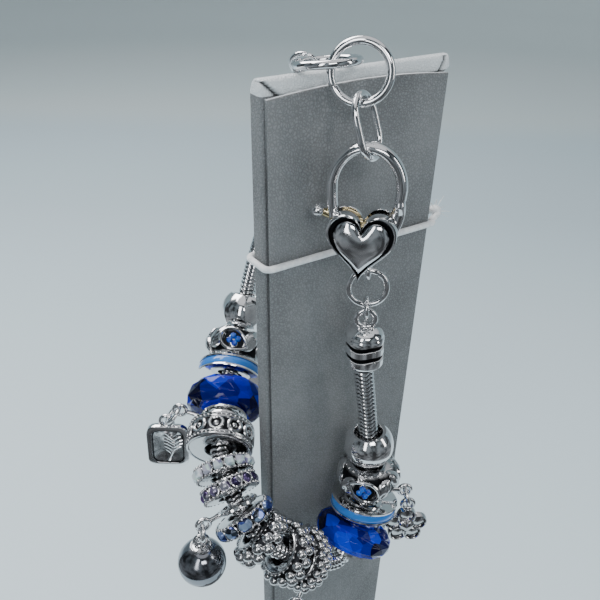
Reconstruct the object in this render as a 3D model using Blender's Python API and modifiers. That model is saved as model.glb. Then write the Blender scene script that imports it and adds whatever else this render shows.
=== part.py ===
"""Silver charm bracelet with its heart clasp, hung on an upright display board.

Units are metres and +Z is up. The origin is the middle of the stand's foot.
Places on the bracelet are given in millimetres from the middle of the board's
top front edge: x along the board's width, y away from its face, z up.
"""
import math

import bmesh
import bpy
from mathutils import Matrix, Vector

MM = 0.001
GAP = 0.3 * MM

# Stand
BASE_WIDTH = 54 * MM
BASE_DEPTH = 44 * MM
BASE_THICKNESS = 6 * MM
BASE_BEVEL = 1.2 * MM
BOARD_TOP_WIDTH = 28.8 * MM
BOARD_THICKNESS = 3.6 * MM
BOARD_HEIGHT = 140 * MM
BOARD_TAPER = 0.0245
BOARD_CORNER = 0.5 * MM
ROLL_RISE = 2.0 * MM
PANEL_THICKNESS = 0.7 * MM
PANEL_INSET = 0.35 * MM
PANEL_ARCH = 0.8 * MM
ELASTIC_RADIUS = 0.45 * MM
ELASTIC_DROP = 21.2 * MM
ELASTIC_CORNER = 0.9 * MM
ELASTIC_KNOT_REACH = 2.6 * MM

# Rings and links of the clasp end
RING_RADIUS = 3.5 * MM
RING_WIRE = 0.52 * MM
REAR_RING_RADIUS = 3.8 * MM
OVAL_WIRE = 0.46 * MM
OVAL_SEAT_ANGLE = math.radians(14)
FRONT_RING_LEAN = math.radians(13)
FRONT_RING_YAW = math.radians(10)
REAR_RING_TILT = math.radians(8)
CLASP_RING_RADIUS = 2.55 * MM
CLASP_RING_WIRE = 0.42 * MM
SMALL_LINK_RADIUS = 1.5 * MM
REAR_LINK_RADIUS = 1.7 * MM
SMALL_LINK_WIRE = 0.3 * MM

# Heart clasp, in its own plane: u to the right, v up, w towards the viewer
HEART_WIDTH = 8.7 * MM
HEART_HEIGHT = 9.0 * MM
HEART_DEPTH = 4.2 * MM
HOOK_HALF_SPAN = 4.2 * MM
HOOK_CENTRE_U = 0.1 * MM
HOOK_CENTRE_V = 7.4 * MM
HOOK_RISE = 5.0 * MM
HOOK_RADIUS = 0.74 * MM
HOOK_DEPTH_SCALE = 1.45
SLOT_THICKNESS = 1.3 * MM
SLOT_BOTTOM = -2.2 * MM
SLOT_TOP = 5.6 * MM
LEVER_CLEARANCE = 0.17 * MM
PIVOT_U = 2.4 * MM
PIVOT_V = 0.3 * MM
PIVOT_PIN_RADIUS = 0.5 * MM
PIVOT_HOLE_CLEARANCE = 0.12 * MM
PIVOT_BOSS_WALL = 0.65 * MM
SEAM_GAP = 0.2 * MM
CLASP_EYE_PLACE = (1.0 * MM, -4.85 * MM, -HEART_DEPTH / 2 - 0.25 * MM)
CLASP_EYE_RADIUS = 1.04 * MM
CLASP_EYE_WIRE = 0.34 * MM

# Chain and end caps
CHAIN_RADIUS = 1.45 * MM
CHAIN_SPACING = 2.9 * MM
CHAIN_CLEARANCE = 0.65 * MM
CHAIN_STRAIGHT = 1.5 * MM
CAP_RADIUS = 2.65 * MM
CAP_LENGTH = 4.7 * MM
CAP_DOME = 1.3 * MM
CAP_BORE_DEPTH = 3.6 * MM
CAP_GROOVE_WIDTH = 0.55 * MM
CAP_GROOVE_DEPTH = 0.3 * MM
CAP_GROOVES = (0.72, 0.36)
CAP_EYE_RADIUS = 1.3 * MM
CAP_EYE_WIRE = 0.42 * MM
FRONT_CHAIN_LENGTH = 13.5 * MM

# Beads on the chain: radius and length along the chain
BEAD_GAP = 0.3 * MM
BALL_RADIUS = 3.75 * MM
BALL_LENGTH = 5.2 * MM
LEAF_RADIUS = 5.3 * MM
LEAF_LENGTH = 4.6 * MM
ENAMEL_RADIUS = 5.25 * MM
ENAMEL_LENGTH = 2.2 * MM
GLASS_RADIUS = 6.4 * MM
GLASS_LENGTH = 6.0 * MM
CORE_RADIUS = 2.75 * MM
CORE_RIM_RADIUS = 3.5 * MM
CORE_RIM_LENGTH = 0.5 * MM
BAIL_RADIUS = 3.2 * MM
BAIL_LENGTH = 0.7 * MM
BAIL_STEM_WIDTH = 0.9 * MM
BAIL_STEM_THICKNESS = 0.6 * MM
GRANULE_RADIUS = 0.5 * MM
GRANULE_COUNT = 8
GRANULE_BEAD_RADIUS = 5.1 * MM
GRANULE_BEAD_LENGTH = 3.1 * MM
BERRY_GRAIN_RADIUS = 0.85 * MM
BERRY_GRAIN_COUNT = 7
BERRY_BEAD_RADIUS = 4.8 * MM
BERRY_BEAD_LENGTH = 3.0 * MM
STONE_BEAD_RADIUS = 4.6 * MM
STONE_BEAD_LENGTH = 2.2 * MM
STONE_COUNT = 8
CRYSTAL_SIZE = (0.85 * MM, 1.2 * MM)
CABOCHON_SIZE = (0.8 * MM, 1.1 * MM)
SQUARE_STONE_SIZE = (0.85 * MM, 0.9 * MM)
CIRCLE_BEAD_RADIUS = 5.2 * MM
CIRCLE_BEAD_LENGTH = 4.0 * MM
CIRCLE_COUNT = 9

# Charms that hang on jump rings: the side of the chain that each bail's eye
# is on, the direction through its eye, the eye's distance from the chain, and
# how far the jump ring leans outwards
FLOWER_SIDE = (0.9, -0.45, -0.1)
FLOWER_HOLE = (-0.5, -0.85, 0.0)
FLOWER_EYE_REACH = 6.6 * MM
FLOWER_LEAN = 0.2
DROP_SIDE = (0.2, -0.2, -1.0)
DROP_HOLE = (-0.6, -0.8, 0.0)
DROP_EYE_REACH = 7.0 * MM
DROP_LEAN = 0.0
BALL_SIDE = (-0.8, 0.3, 0.2)
BALL_HOLE = (-0.3, -1.0, 0.0)
BALL_EYE_REACH = 5.8 * MM
BALL_LEAN = 0.1
PLATE_SIDE = (-1.0, 0.3, 0.25)
PLATE_HOLE = (-0.58, -0.81, 0.0)
PLATE_EYE_REACH = 7.2 * MM
PLATE_LEAN = 0.9
EYE_RADIUS = 0.95 * MM
EYE_WIRE = 0.33 * MM
JUMP_RADIUS = 1.5 * MM
JUMP_WIRE = 0.33 * MM
PLATE_WIDTH = 6.6 * MM
PLATE_HEIGHT = 8.0 * MM
PLATE_THICKNESS = 1.1 * MM
HANGING_BALL_RADIUS = 3.6 * MM
FLOWER_RADIUS = 3.6 * MM
FLOWER_THICKNESS = 1.6 * MM
DROP_RADIUS = 2.6 * MM
DROP_LENGTH = 6.5 * MM

ROUND_SIDES = 12
RELIEF_SIDES = 12
WIRE_SIDES = 6

TOP_Z = BASE_THICKNESS + GAP + BOARD_HEIGHT
FRONT_Y = -BOARD_THICKNESS / 2

# Chosen places of the hung pieces, millimetres from the top front edge's middle
FRONT_RING_PLACE = (-3.5, -3.2, 2.7)
REAR_RING_PLACE = (-4.98, 1.28, 3.1)
HEART_PLACE = (-4.0, -6.2, -17.6)

# The chain's route between its end caps
CHAIN_ROUTE = [
    (0.1, -5.4, -46.5),
    (1.1, -5.7, -55.0),
    (0.9, -6.0, -60.6),
    (-0.2, -6.4, -65.6),
    (-2.1, -6.9, -69.6),
    (-4.6, -7.4, -72.3),
    (-8.0, -7.7, -71.2),
    (-11.7, -7.4, -68.3),
    (-15.0, -6.7, -65.6),
    (-17.7, -5.2, -63.0),
    (-19.2, -2.5, -60.1),
    (-19.7, 0.0, -57.4),
    (-19.4, 3.0, -55.4),
    (-18.3, 6.4, -53.3),
    (-15.0, 10.6, -51.5),
    (-12.2, 14.6, -50.0),
    (-8.4, 18.9, -46.8),
    (-5.0, 21.6, -42.0),
    (-3.0, 22.4, -36.0),
    (-2.0, 20.4, -28.0),
    (-2.6, 15.8, -19.6),
    (-4.0, 11.0, -12.8),
]
FRONT_CAP_AXIS = (0.03, -0.02, -1.0)
REAR_LINK_AXIS = (0.0, 0.643, -0.766)
REAR_LINK_TILT = math.radians(45)
REAR_LINK_ANGLE = math.radians(40)
REAR_CAP_AXIS = (0.08, 0.208, -0.978)

CAMERA_SIDE = Vector((-0.46, -0.52, 0.72))
VIEW_RIGHT = Vector((0.815, -0.579, 0.0))
VIEW_AWAY = Vector((0.579, 0.815, 0.0))
UP = Vector((0.0, 0.0, 1.0))

SILVER = (0.78, 0.79, 0.8)
OXIDISED = (0.55, 0.56, 0.58)
LEATHERETTE = (0.6, 0.61, 0.62)
COBALT = (0.01, 0.06, 0.55)
SKY_ENAMEL = (0.35, 0.62, 0.82)
WHITE_CORD = (0.9, 0.9, 0.9)


def clear_scene():
    """Remove every object that the file starts with."""
    for item in list(bpy.data.objects):
        bpy.data.objects.remove(item, do_unlink=True)


def new_collection(name):
    """Link a new collection to the scene."""
    group = bpy.data.collections.new(name)
    bpy.context.scene.collection.children.link(group)
    return group


clear_scene()
PARTS = new_collection("charm_bracelet")
CUTTERS = new_collection("cutters")


def material(name, colour, roughness, metallic):
    """Return a plain Principled material for one piece."""
    made = bpy.data.materials.new(name)
    made.use_nodes = True
    shader = made.node_tree.nodes["Principled BSDF"]
    shader.inputs["Base Color"].default_value = (*colour, 1.0)
    shader.inputs["Roughness"].default_value = roughness
    shader.inputs["Metallic"].default_value = metallic
    made.diffuse_color = (*colour, 1.0)
    return made


def dress(piece, colour=SILVER, roughness=0.15, metallic=1.0):
    """Give a piece its own material."""
    piece.data.materials.clear()
    piece.data.materials.append(material(piece.name, colour, roughness, metallic))
    return piece


def place(x, y, z):
    """World point of a place given in millimetres from the top front edge."""
    return Vector((x * MM, FRONT_Y + y * MM, TOP_Z + z * MM))


def axes(origin, x_axis, z_axis):
    """Matrix with its z axis as given and its x axis as near as it can be."""
    z_unit = z_axis.normalized()
    x_unit = (x_axis - z_unit * x_axis.dot(z_unit)).normalized()
    y_unit = z_unit.cross(x_unit)
    turn = Matrix((x_unit, y_unit, z_unit)).transposed().to_4x4()
    return Matrix.Translation(origin) @ turn


def add_object(name, mesh, matrix=None):
    """Link a mesh as a named object."""
    piece = bpy.data.objects.new(name, mesh)
    PARTS.objects.link(piece)
    if matrix is not None:
        piece.matrix_world = matrix
    return piece


def as_guide(piece):
    """Mark an object as a cutter or a form that is fused to another."""
    for group in list(piece.users_collection):
        group.objects.unlink(piece)
    CUTTERS.objects.link(piece)
    piece.hide_render = True
    piece.display_type = "WIRE"
    return piece


def combine(piece, other, operation):
    """Fuse a guide to a piece, or cut it away."""
    as_guide(other)
    step = piece.modifiers.new(operation.lower(), "BOOLEAN")
    step.operation = operation
    step.solver = "EXACT"
    step.use_self = operation == "UNION"
    step.object = other
    return piece


def frozen(piece, name=None):
    """Replace an object by the plain mesh that it evaluates to."""
    name = name or piece.name
    bpy.context.view_layer.update()
    graph = bpy.context.evaluated_depsgraph_get()
    mesh = bpy.data.meshes.new_from_object(piece.evaluated_get(graph))
    weld = bmesh.new()
    weld.from_mesh(mesh)
    bmesh.ops.remove_doubles(weld, verts=weld.verts, dist=0.00001)
    weld.to_mesh(mesh)
    weld.free()
    matrix = piece.matrix_world.copy()
    bpy.data.objects.remove(piece, do_unlink=True)
    mesh.name = name
    return add_object(name, mesh, matrix)


def smooth(piece, angle=35):
    """Shade a piece smooth with sharp edges where it turns by more than angle."""
    piece.data.shade_smooth()
    piece.data.set_sharp_from_angle(angle=math.radians(angle))
    return piece


def mesh_from(build, name):
    """Run a bmesh builder and return its mesh."""
    work = bmesh.new()
    build(work)
    bmesh.ops.recalc_face_normals(work, faces=work.faces)
    mesh = bpy.data.meshes.new(name)
    work.to_mesh(mesh)
    work.free()
    return mesh


def loft(name, rings, matrix=None):
    """Solid through closed rings of points, capped flat at both ends."""
    def build(work):
        rows = [[work.verts.new(point) for point in points] for points in rings]
        count = len(rings[0])
        for low, high in zip(rows, rows[1:]):
            for i in range(count):
                j = (i + 1) % count
                work.faces.new((low[i], low[j], high[j], high[i]))
        work.faces.new(rows[0])
        work.faces.new(rows[-1])
    return add_object(name, mesh_from(build, name), matrix)


def prism(name, outline, low, high, matrix=None):
    """Flat outline made thick between two heights."""
    rings = [[Vector((x, y, z)) for x, y in outline] for z in (low, high)]
    return loft(name, rings, matrix)


def turned(name, profile, matrix, sides=ROUND_SIDES):
    """Turn a profile of radius and height pairs about the z axis."""
    mesh = bpy.data.meshes.new(name)
    points = [(radius, 0.0, height) for radius, height in profile]
    closed = min(radius for radius, _ in profile) > 0
    edges = [(i, i + 1) for i in range(len(points) - 1)]
    if closed:
        edges.append((len(points) - 1, 0))
    mesh.from_pydata(points, edges, [])
    piece = add_object(name, mesh, matrix)
    screw = piece.modifiers.new("turn", "SCREW")
    screw.steps = sides
    screw.render_steps = sides
    screw.use_merge_vertices = True
    screw.merge_threshold = 0.00001
    screw.use_smooth_shade = False
    return piece


def tube(name, points, radius, cyclic=False, resolution=2):
    """Round wire through points."""
    curve = bpy.data.curves.new(name, "CURVE")
    curve.dimensions = "3D"
    curve.resolution_u = 1
    curve.bevel_depth = radius
    curve.bevel_resolution = resolution
    curve.use_fill_caps = True
    line = curve.splines.new("POLY")
    line.points.add(len(points) - 1)
    for knot, point in zip(line.points, points):
        knot.co = (*point, 1.0)
    line.use_cyclic_u = cyclic
    piece = bpy.data.objects.new(name, curve)
    PARTS.objects.link(piece)
    return piece


def ring(name, radius, wire, matrix, major=ROUND_SIDES, minor=WIRE_SIDES):
    """Closed ring of round wire about the matrix's z axis."""
    bpy.ops.mesh.primitive_torus_add(major_segments=major, minor_segments=minor,
                                     major_radius=radius, minor_radius=wire)
    piece = bpy.context.object
    piece.name = name
    piece.data.name = name
    for group in list(piece.users_collection):
        group.objects.unlink(piece)
    PARTS.objects.link(piece)
    piece.matrix_world = matrix
    return smooth(piece, 75)


def box(name, low, high, matrix=None):
    """Box between two corners."""
    outline = [(low[0], low[1]), (high[0], low[1]), (high[0], high[1]), (low[0], high[1])]
    return prism(name, outline, low[2], high[2], matrix)


def cylinder(name, radius, low, high, matrix=None, sides=ROUND_SIDES):
    """Round bar between two heights."""
    outline = [(radius * math.cos(math.tau * i / sides), radius * math.sin(math.tau * i / sides))
               for i in range(sides)]
    return prism(name, outline, low, high, matrix)


def catmull(points, per_span):
    """Smooth curve through points, with per_span samples in each span."""
    ends = [points[0] * 2 - points[1]] + points + [points[-1] * 2 - points[-2]]
    samples = []
    for before, start, stop, after in zip(ends, ends[1:], ends[2:], ends[3:]):
        for i in range(per_span):
            t = i / per_span
            samples.append(0.5 * (start * 2 + (stop - before) * t
                                  + (before * 2 - start * 5 + stop * 4 - after) * t ** 2
                                  + (start * 3 - before - stop * 3 + after) * t ** 3))
    samples.append(points[-1])
    return samples


class Route:
    """Smooth path that is read by the length travelled along it."""

    def __init__(self, points):
        self.samples = catmull(points, 16)
        self.marks = [0.0]
        for start, stop in zip(self.samples, self.samples[1:]):
            self.marks.append(self.marks[-1] + (stop - start).length)
        self.length = self.marks[-1]

    def at(self, travelled):
        """Point at a length along the path."""
        travelled = min(max(travelled, 0.0), self.length)
        i = 0
        while i < len(self.marks) - 2 and self.marks[i + 1] < travelled:
            i += 1
        span = self.marks[i + 1] - self.marks[i]
        share = (travelled - self.marks[i]) / span
        return self.samples[i].lerp(self.samples[i + 1], share)

    def frame(self, travelled, half):
        """Matrix of a bead that spans half a length to each side: z along the path."""
        ends = self.at(travelled - half), self.at(travelled + half)
        centre = (ends[0] + ends[1] + self.at(travelled) * 2) / 4
        return axes(centre, CAMERA_SIDE, ends[1] - ends[0])


def rounded_section(half_x, half_y, corner, height, per_corner=3):
    """Rectangle with round corners, as one ring of points."""
    corner = min(corner, half_x, half_y)
    points = []
    for turn, (sx, sy) in enumerate(((1, 1), (-1, 1), (-1, -1), (1, -1))):
        for i in range(per_corner + 1):
            angle = math.pi / 2 * (turn + i / per_corner)
            points.append(Vector((sx * (half_x - corner) + corner * math.cos(angle),
                                  sy * (half_y - corner) + corner * math.sin(angle),
                                  height)))
    return points


def board_half_width(height):
    """Half of the board's width at a height above its foot."""
    return BOARD_TOP_WIDTH / 2 - BOARD_TAPER * (BOARD_HEIGHT - height)


def make_stand():
    """Base plate, wrapped board with its rolled top, and the front panel."""
    base = box("stand_base", (-BASE_WIDTH / 2, -BASE_DEPTH / 2, 0),
               (BASE_WIDTH / 2, BASE_DEPTH / 2, BASE_THICKNESS))
    bevel = base.modifiers.new("edge", "BEVEL")
    bevel.width = BASE_BEVEL
    bevel.segments = 2
    dress(base, LEATHERETTE, 0.6, 0.0)

    back_half = (BOARD_THICKNESS - PANEL_THICKNESS - GAP) / 2
    back_y = BOARD_THICKNESS / 2 - back_half
    foot = BASE_THICKNESS + GAP
    # Height as a share of the roll, how far the left and the right end reach out, and the depth share
    roll = [(0.0, 0.0, 0.0, 1.0), (0.35, 0.0, 0.8 * MM, 1.0), (0.75, -0.1 * MM, 1.0 * MM, 0.86),
            (0.93, -0.25 * MM, 0.8 * MM, 0.58), (1.0, -0.5 * MM, 0.3 * MM, 0.22)]
    rings = [rounded_section(board_half_width(0), back_half, BOARD_CORNER, foot)]
    for share, left, right, deep in roll:
        half = board_half_width(BOARD_HEIGHT)
        row = rounded_section(half, back_half * deep, BOARD_CORNER * deep, TOP_Z + ROLL_RISE * share)
        for point in row:
            point.x += right if point.x > 0 else -left
        rings.append(row)
    for row in rings:
        for point in row:
            point.y += back_y
    dress(smooth(loft("stand_board", rings)), LEATHERETTE, 0.6, 0.0)

    low_half = board_half_width(0) - PANEL_INSET
    high_half = board_half_width(BOARD_HEIGHT) - PANEL_INSET
    outline = [(-low_half, foot), (low_half, foot)]
    for i in range(9):
        x = high_half * (1 - 2 * i / 8)
        outline.append((x, TOP_Z + PANEL_ARCH * (1 - (x / high_half) ** 2)))
    face = axes(Vector((0, FRONT_Y, 0)), Vector((1, 0, 0)), Vector((0, -1, 0)))
    panel = prism("stand_front_panel", outline, -PANEL_THICKNESS, 0.0, face)
    dress(panel, LEATHERETTE, 0.6, 0.0)


def make_elastic():
    """Elastic loop stretched round the board, with a free bulge at its knot side."""
    reach = ELASTIC_RADIUS + GAP
    half = board_half_width(BOARD_HEIGHT - ELASTIC_DROP) + reach
    deep = BOARD_THICKNESS / 2 + reach
    straight = deep - ELASTIC_CORNER
    height = TOP_Z - ELASTIC_DROP
    points = rounded_section(half, deep, ELASTIC_CORNER, height, 3)
    bulge = [Vector((half + ELASTIC_KNOT_REACH * math.sin(math.pi * i / 6),
                     straight - straight * 2 * i / 6, height)) for i in range(1, 6)]
    points = points + bulge[::-1]
    band = tube("elastic_band", points, ELASTIC_RADIUS, cyclic=True)
    dress(smooth(frozen(band), 70), WHITE_CORD, 0.7, 0.0)


def heart_outline(count=22):
    """Heart of unit width and height about a point inside it."""
    points = []
    for i in range(count):
        t = math.tau * i / count
        x = math.sin(t) ** 3
        y = (13 * math.cos(t) - 5 * math.cos(2 * t) - 2 * math.cos(3 * t) - math.cos(4 * t)) / 29.0
        points.append((x / 2, y + 0.09))
    return points


def heart_rings(width, height, table):
    """Rings of a heart at shares of its size and given heights."""
    flat = heart_outline()
    return [[Vector((x * width * share, y * height * share, rise)) for x, y in flat]
            for share, rise in table]


def oval_points(length, width, sides=6):
    """Round-ended loop in the xy plane, long in y."""
    radius = width / 2
    straight = length / 2 - radius
    points = []
    for end in (1, -1):
        for i in range(sides + 1):
            angle = math.pi * i / sides + (0 if end == 1 else math.pi)
            points.append(Vector((radius * math.cos(angle), end * straight + radius * math.sin(angle), 0)))
    return points


def make_clasp():
    """Heart lobster clasp: heart body with its hook, and the sprung lever."""
    facing = Vector((-math.sin(math.radians(45)), -math.cos(math.radians(45)), 0))
    right = UP.cross(facing).normalized()
    home = axes(place(*HEART_PLACE), right, facing)

    half = HEART_DEPTH / 2
    # Size share and height of the heart's rings: rim, groove and polished dome
    table = [(0.94, -half), (1.0, -half + 0.3 * MM), (1.0, half - 0.15 * MM), (0.97, half), (0.92, half),
             (0.90, half - 0.4 * MM), (0.78, half - 0.4 * MM), (0.76, half - 0.05 * MM),
             (0.62, half + 0.25 * MM), (0.38, half + 0.45 * MM), (0.12, half + 0.52 * MM)]
    body = loft("clasp_body", heart_rings(HEART_WIDTH, HEART_HEIGHT, table), home)

    arc = []
    for i in range(12):
        angle = math.pi * (1 - i / 11)
        arc.append(Vector((HOOK_CENTRE_U + HOOK_HALF_SPAN * math.cos(angle),
                           HOOK_CENTRE_V + HOOK_RISE * math.sin(angle), 0)))
    root = [Vector((-2.9 * MM, 1.6 * MM, 0)), Vector((-3.6 * MM, 4.6 * MM, 0))]
    tip_reach = Vector((arc[-1].x - 0.12 * MM, HOOK_CENTRE_V - 1.1 * MM, 0))
    hook = frozen(tube("hook", root + arc + [tip_reach], HOOK_RADIUS))
    for vert in hook.data.vertices:
        vert.co.z *= HOOK_DEPTH_SCALE
    hook.matrix_world = home
    combine(body, hook, "UNION")

    eye_turn = axes(Vector(CLASP_EYE_PLACE), Vector((0, 1, 0)), Vector((1, 0, 0)))
    eye = ring("clasp_eye", CLASP_EYE_RADIUS, CLASP_EYE_WIRE, home @ eye_turn)
    combine(body, eye, "UNION")
    eye_u, eye_v, eye_w = CLASP_EYE_PLACE
    stem = box("eye_stem", (eye_u - 0.45 * MM, eye_v + 0.55 * MM, eye_w - 0.2 * MM),
               (eye_u + 0.45 * MM, eye_v + 2.25 * MM, eye_w + 0.75 * MM), home)
    combine(body, stem, "UNION")

    reach = 9 * MM
    slot = box("slot", (-reach, SLOT_BOTTOM, -SLOT_THICKNESS / 2), (reach, SLOT_TOP, SLOT_THICKNESS / 2),
               home)
    pin = cylinder("pin", PIVOT_PIN_RADIUS, -half, half, home @ Matrix.Translation((PIVOT_U, PIVOT_V, 0)))
    slot = combine(slot, pin, "DIFFERENCE")
    combine(body, frozen(slot), "DIFFERENCE")
    body = smooth(frozen(body), 40)
    dress(body)

    thick = SLOT_THICKNESS / 2 - LEVER_CLEARANCE
    hole = PIVOT_PIN_RADIUS + PIVOT_HOLE_CLEARANCE
    boss = hole + PIVOT_BOSS_WALL
    tip_u = arc[-1].x - 0.05 * MM
    tip_v = tip_reach.y - SEAM_GAP
    # The lever's outline, anticlockwise from the gate's foot round to the tab
    outline = [
        (PIVOT_U + boss, PIVOT_V),
        (4.3 * MM, 2.6 * MM),
        (tip_u + 0.5 * MM, 5.0 * MM),
        (tip_u - 0.5 * MM, 5.2 * MM),
        (3.3 * MM, 3.4 * MM),
        (1.6 * MM, 2.2 * MM),
        (-1.0 * MM, 3.1 * MM),
        (-5.6 * MM, 4.5 * MM),
        (-5.8 * MM, 3.5 * MM),
        (-2.0 * MM, 1.9 * MM),
        (PIVOT_U - boss, PIVOT_V),
        (PIVOT_U, PIVOT_V - boss),
    ]
    lever = prism("clasp_lever", outline, -thick, thick, home)
    gate_path = [Vector((4.35 * MM, 4.7 * MM, 0)), Vector((tip_u - 0.05 * MM, 5.4 * MM, 0)),
                 Vector((tip_u, tip_v, 0))]
    gate = frozen(tube("gate", gate_path, HOOK_RADIUS - 0.1 * MM))
    for vert in gate.data.vertices:
        vert.co.z *= HOOK_DEPTH_SCALE
    gate.matrix_world = home
    combine(lever, gate, "UNION")
    thumb = cylinder("thumb", 0.95 * MM, -1.1 * MM, 1.1 * MM,
                     home @ Matrix.Translation((-5.75 * MM, 4.0 * MM, 0)), 12)
    combine(lever, thumb, "UNION")
    bore = cylinder("lever_bore", hole, -reach, reach, home @ Matrix.Translation((PIVOT_U, PIVOT_V, 0)))
    combine(lever, bore, "DIFFERENCE")
    lever = smooth(frozen(lever), 40)
    dress(lever)
    return home


def make_top_links(home):
    """Rings and links that join the clasp, the end cap and the rear run."""
    lean = FRONT_RING_LEAN
    level = VIEW_RIGHT * math.cos(FRONT_RING_YAW) - VIEW_AWAY * math.sin(FRONT_RING_YAW)
    away = UP.cross(level)
    towards = UP * math.sin(lean) - away * math.cos(lean)
    dress(ring("ring_front", RING_RADIUS, RING_WIRE, axes(place(*FRONT_RING_PLACE), level, towards)))

    across = VIEW_AWAY * math.cos(REAR_RING_TILT) - UP * math.sin(REAR_RING_TILT)
    along = (VIEW_RIGHT + UP * 0.1).normalized()
    normal = along.cross(across)
    rear_centre = place(*REAR_RING_PLACE)
    dress(ring("ring_rear", REAR_RING_RADIUS, RING_WIRE, axes(rear_centre, along, normal)))
    turn = REAR_LINK_ANGLE
    rear_hang = rear_centre + (across * math.cos(turn) - along * math.sin(turn)) * REAR_RING_RADIUS
    rear_tangent = -(across * math.sin(turn) + along * math.cos(turn))

    ring_down = -(UP * math.cos(lean) + away * math.sin(lean))
    seat = ring_down * math.cos(OVAL_SEAT_ANGLE) + level * math.sin(OVAL_SEAT_ANGLE)
    ring_foot = place(*FRONT_RING_PLACE) + seat * RING_RADIUS
    hook_top = home @ Vector((HOOK_CENTRE_U, HOOK_CENTRE_V + HOOK_RISE, 0))
    rise = ring_foot - hook_top
    above = RING_WIRE + GAP + OVAL_WIRE
    below = HOOK_RADIUS + GAP + OVAL_WIRE
    length = rise.length + above + below
    width = 2 * (HOOK_RADIUS * HOOK_DEPTH_SCALE + 2 * GAP + OVAL_WIRE)
    middle = hook_top + rise.normalized() * (length / 2 - below)
    side = VIEW_AWAY * 0.88 + VIEW_RIGHT * 0.45
    side = (side - rise * side.dot(rise) / rise.length_squared).normalized()
    oval = frozen(tube("oval_link", oval_points(length, width), OVAL_WIRE, cyclic=True))
    oval.matrix_world = axes(middle, side, side.cross(rise))
    dress(smooth(oval, 60))

    ring_centre = home @ Vector(CLASP_EYE_PLACE) - UP * (CLASP_RING_RADIUS + 0.1 * MM)
    dress(ring("clasp_ring", CLASP_RING_RADIUS, CLASP_RING_WIRE, axes(ring_centre, VIEW_RIGHT, -VIEW_AWAY)))
    return ring_centre - UP * CLASP_RING_RADIUS, rear_hang, rear_tangent


def make_cap(name, eye_top, axis, facing):
    """End cap with its eyelet: the eyelet's wire starts at eye_top, the mouth looks along axis."""
    wall = CHAIN_RADIUS + GAP
    total = CAP_LENGTH + CAP_DOME
    groove = CAP_GROOVE_WIDTH
    low = CAP_RADIUS - CAP_GROOVE_DEPTH
    edge = 0.08 * MM
    lip = CAP_RADIUS * 1.02
    profile = [(0.0, total), (CAP_RADIUS * 0.55, total - 0.15 * CAP_DOME),
               (CAP_RADIUS * 0.9, total - 0.6 * CAP_DOME), (lip, CAP_LENGTH)]
    for share in CAP_GROOVES:
        top = CAP_LENGTH * share + groove / 2
        foot = top - groove
        profile += [(CAP_RADIUS, top + edge), (low, top), (low, foot), (CAP_RADIUS, foot - edge)]
    profile += [(lip, 0.35 * MM), (CAP_RADIUS * 0.96, 0.0), (wall, 0.0), (wall, CAP_BORE_DEPTH),
                (0.0, CAP_BORE_DEPTH)]
    to_mouth = axis.normalized()
    eye_centre = total + CAP_EYE_RADIUS - 0.25 * MM
    base = eye_top + to_mouth * (eye_centre + CAP_EYE_RADIUS)
    home = axes(base, facing, -to_mouth)
    cap = turned(name, profile, home)
    eye = ring(name + "_eye", CAP_EYE_RADIUS, CAP_EYE_WIRE,
               home @ axes(Vector((0, 0, eye_centre)), Vector((0, 0, 1)), Vector((1, 0, 0))))
    combine(cap, eye, "UNION")
    dress(smooth(frozen(cap), 40))
    return base


def bead_frame_profile(radius, length, bulge):
    """Closed profile of a bored round bead with a bulging side."""
    bore = CHAIN_RADIUS + CHAIN_CLEARANCE
    half = length / 2
    profile = [(bore + 0.25 * MM, half)]
    for share, height in bulge:
        profile.append((bore + (radius - bore) * share, half * height))
    profile += [(bore + 0.25 * MM, -half), (bore, -half + 0.25 * MM), (bore, half - 0.25 * MM)]
    return profile


def make_ball(name, home):
    """Plain polished ball bead."""
    bore = CHAIN_RADIUS + CHAIN_CLEARANCE
    half = BALL_LENGTH / 2
    limit = math.asin(half / BALL_RADIUS)
    profile = []
    for i in range(9):
        angle = limit * (1 - 2 * i / 8)
        profile.append((BALL_RADIUS * math.cos(angle), BALL_RADIUS * math.sin(angle)))
    profile += [(bore, -half), (bore, half)]
    return dress(smooth(turned(name, profile, home)))


def scatter(name, forms, home):
    """One guide mesh from small forms: each a builder and its matrix."""
    work = bmesh.new()
    for build, matrix in forms:
        made = build(work)
        bmesh.ops.transform(work, matrix=matrix, verts=made["verts"])
    mesh = bpy.data.meshes.new(name)
    work.to_mesh(mesh)
    work.free()
    return add_object(name, mesh, home)


def granule(radius):
    """Builder of one small round grain."""
    return lambda work: bmesh.ops.create_icosphere(work, subdivisions=1, radius=radius)


def cut_stone(radius, height):
    """Builder of one round stone with a table and eight side facets."""
    return lambda work: bmesh.ops.create_cone(work, cap_ends=True, segments=8, radius1=radius,
                                              radius2=radius * 0.6, depth=height)


def leaf(length, width, thick):
    """Builder of one leaf, pointed at both ends."""
    scale = Matrix.Diagonal((length / 2, width / 2, thick / 2, 1))
    return lambda work: bmesh.ops.create_uvsphere(work, u_segments=6, v_segments=4, radius=1,
                                                  matrix=scale @ Matrix.Rotation(math.pi / 2, 4, "Y"))


def around(radius, angle, height, lean=0.0, spin=0.0):
    """Place on a bead's side, with z outwards."""
    out = Vector((math.cos(angle), math.sin(angle), 0))
    out = (out * math.cos(lean) + UP * math.sin(lean)).normalized()
    seat = Vector((radius * math.cos(angle), radius * math.sin(angle), height))
    return axes(seat, UP, out) @ Matrix.Rotation(spin, 4, "Z")


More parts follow.
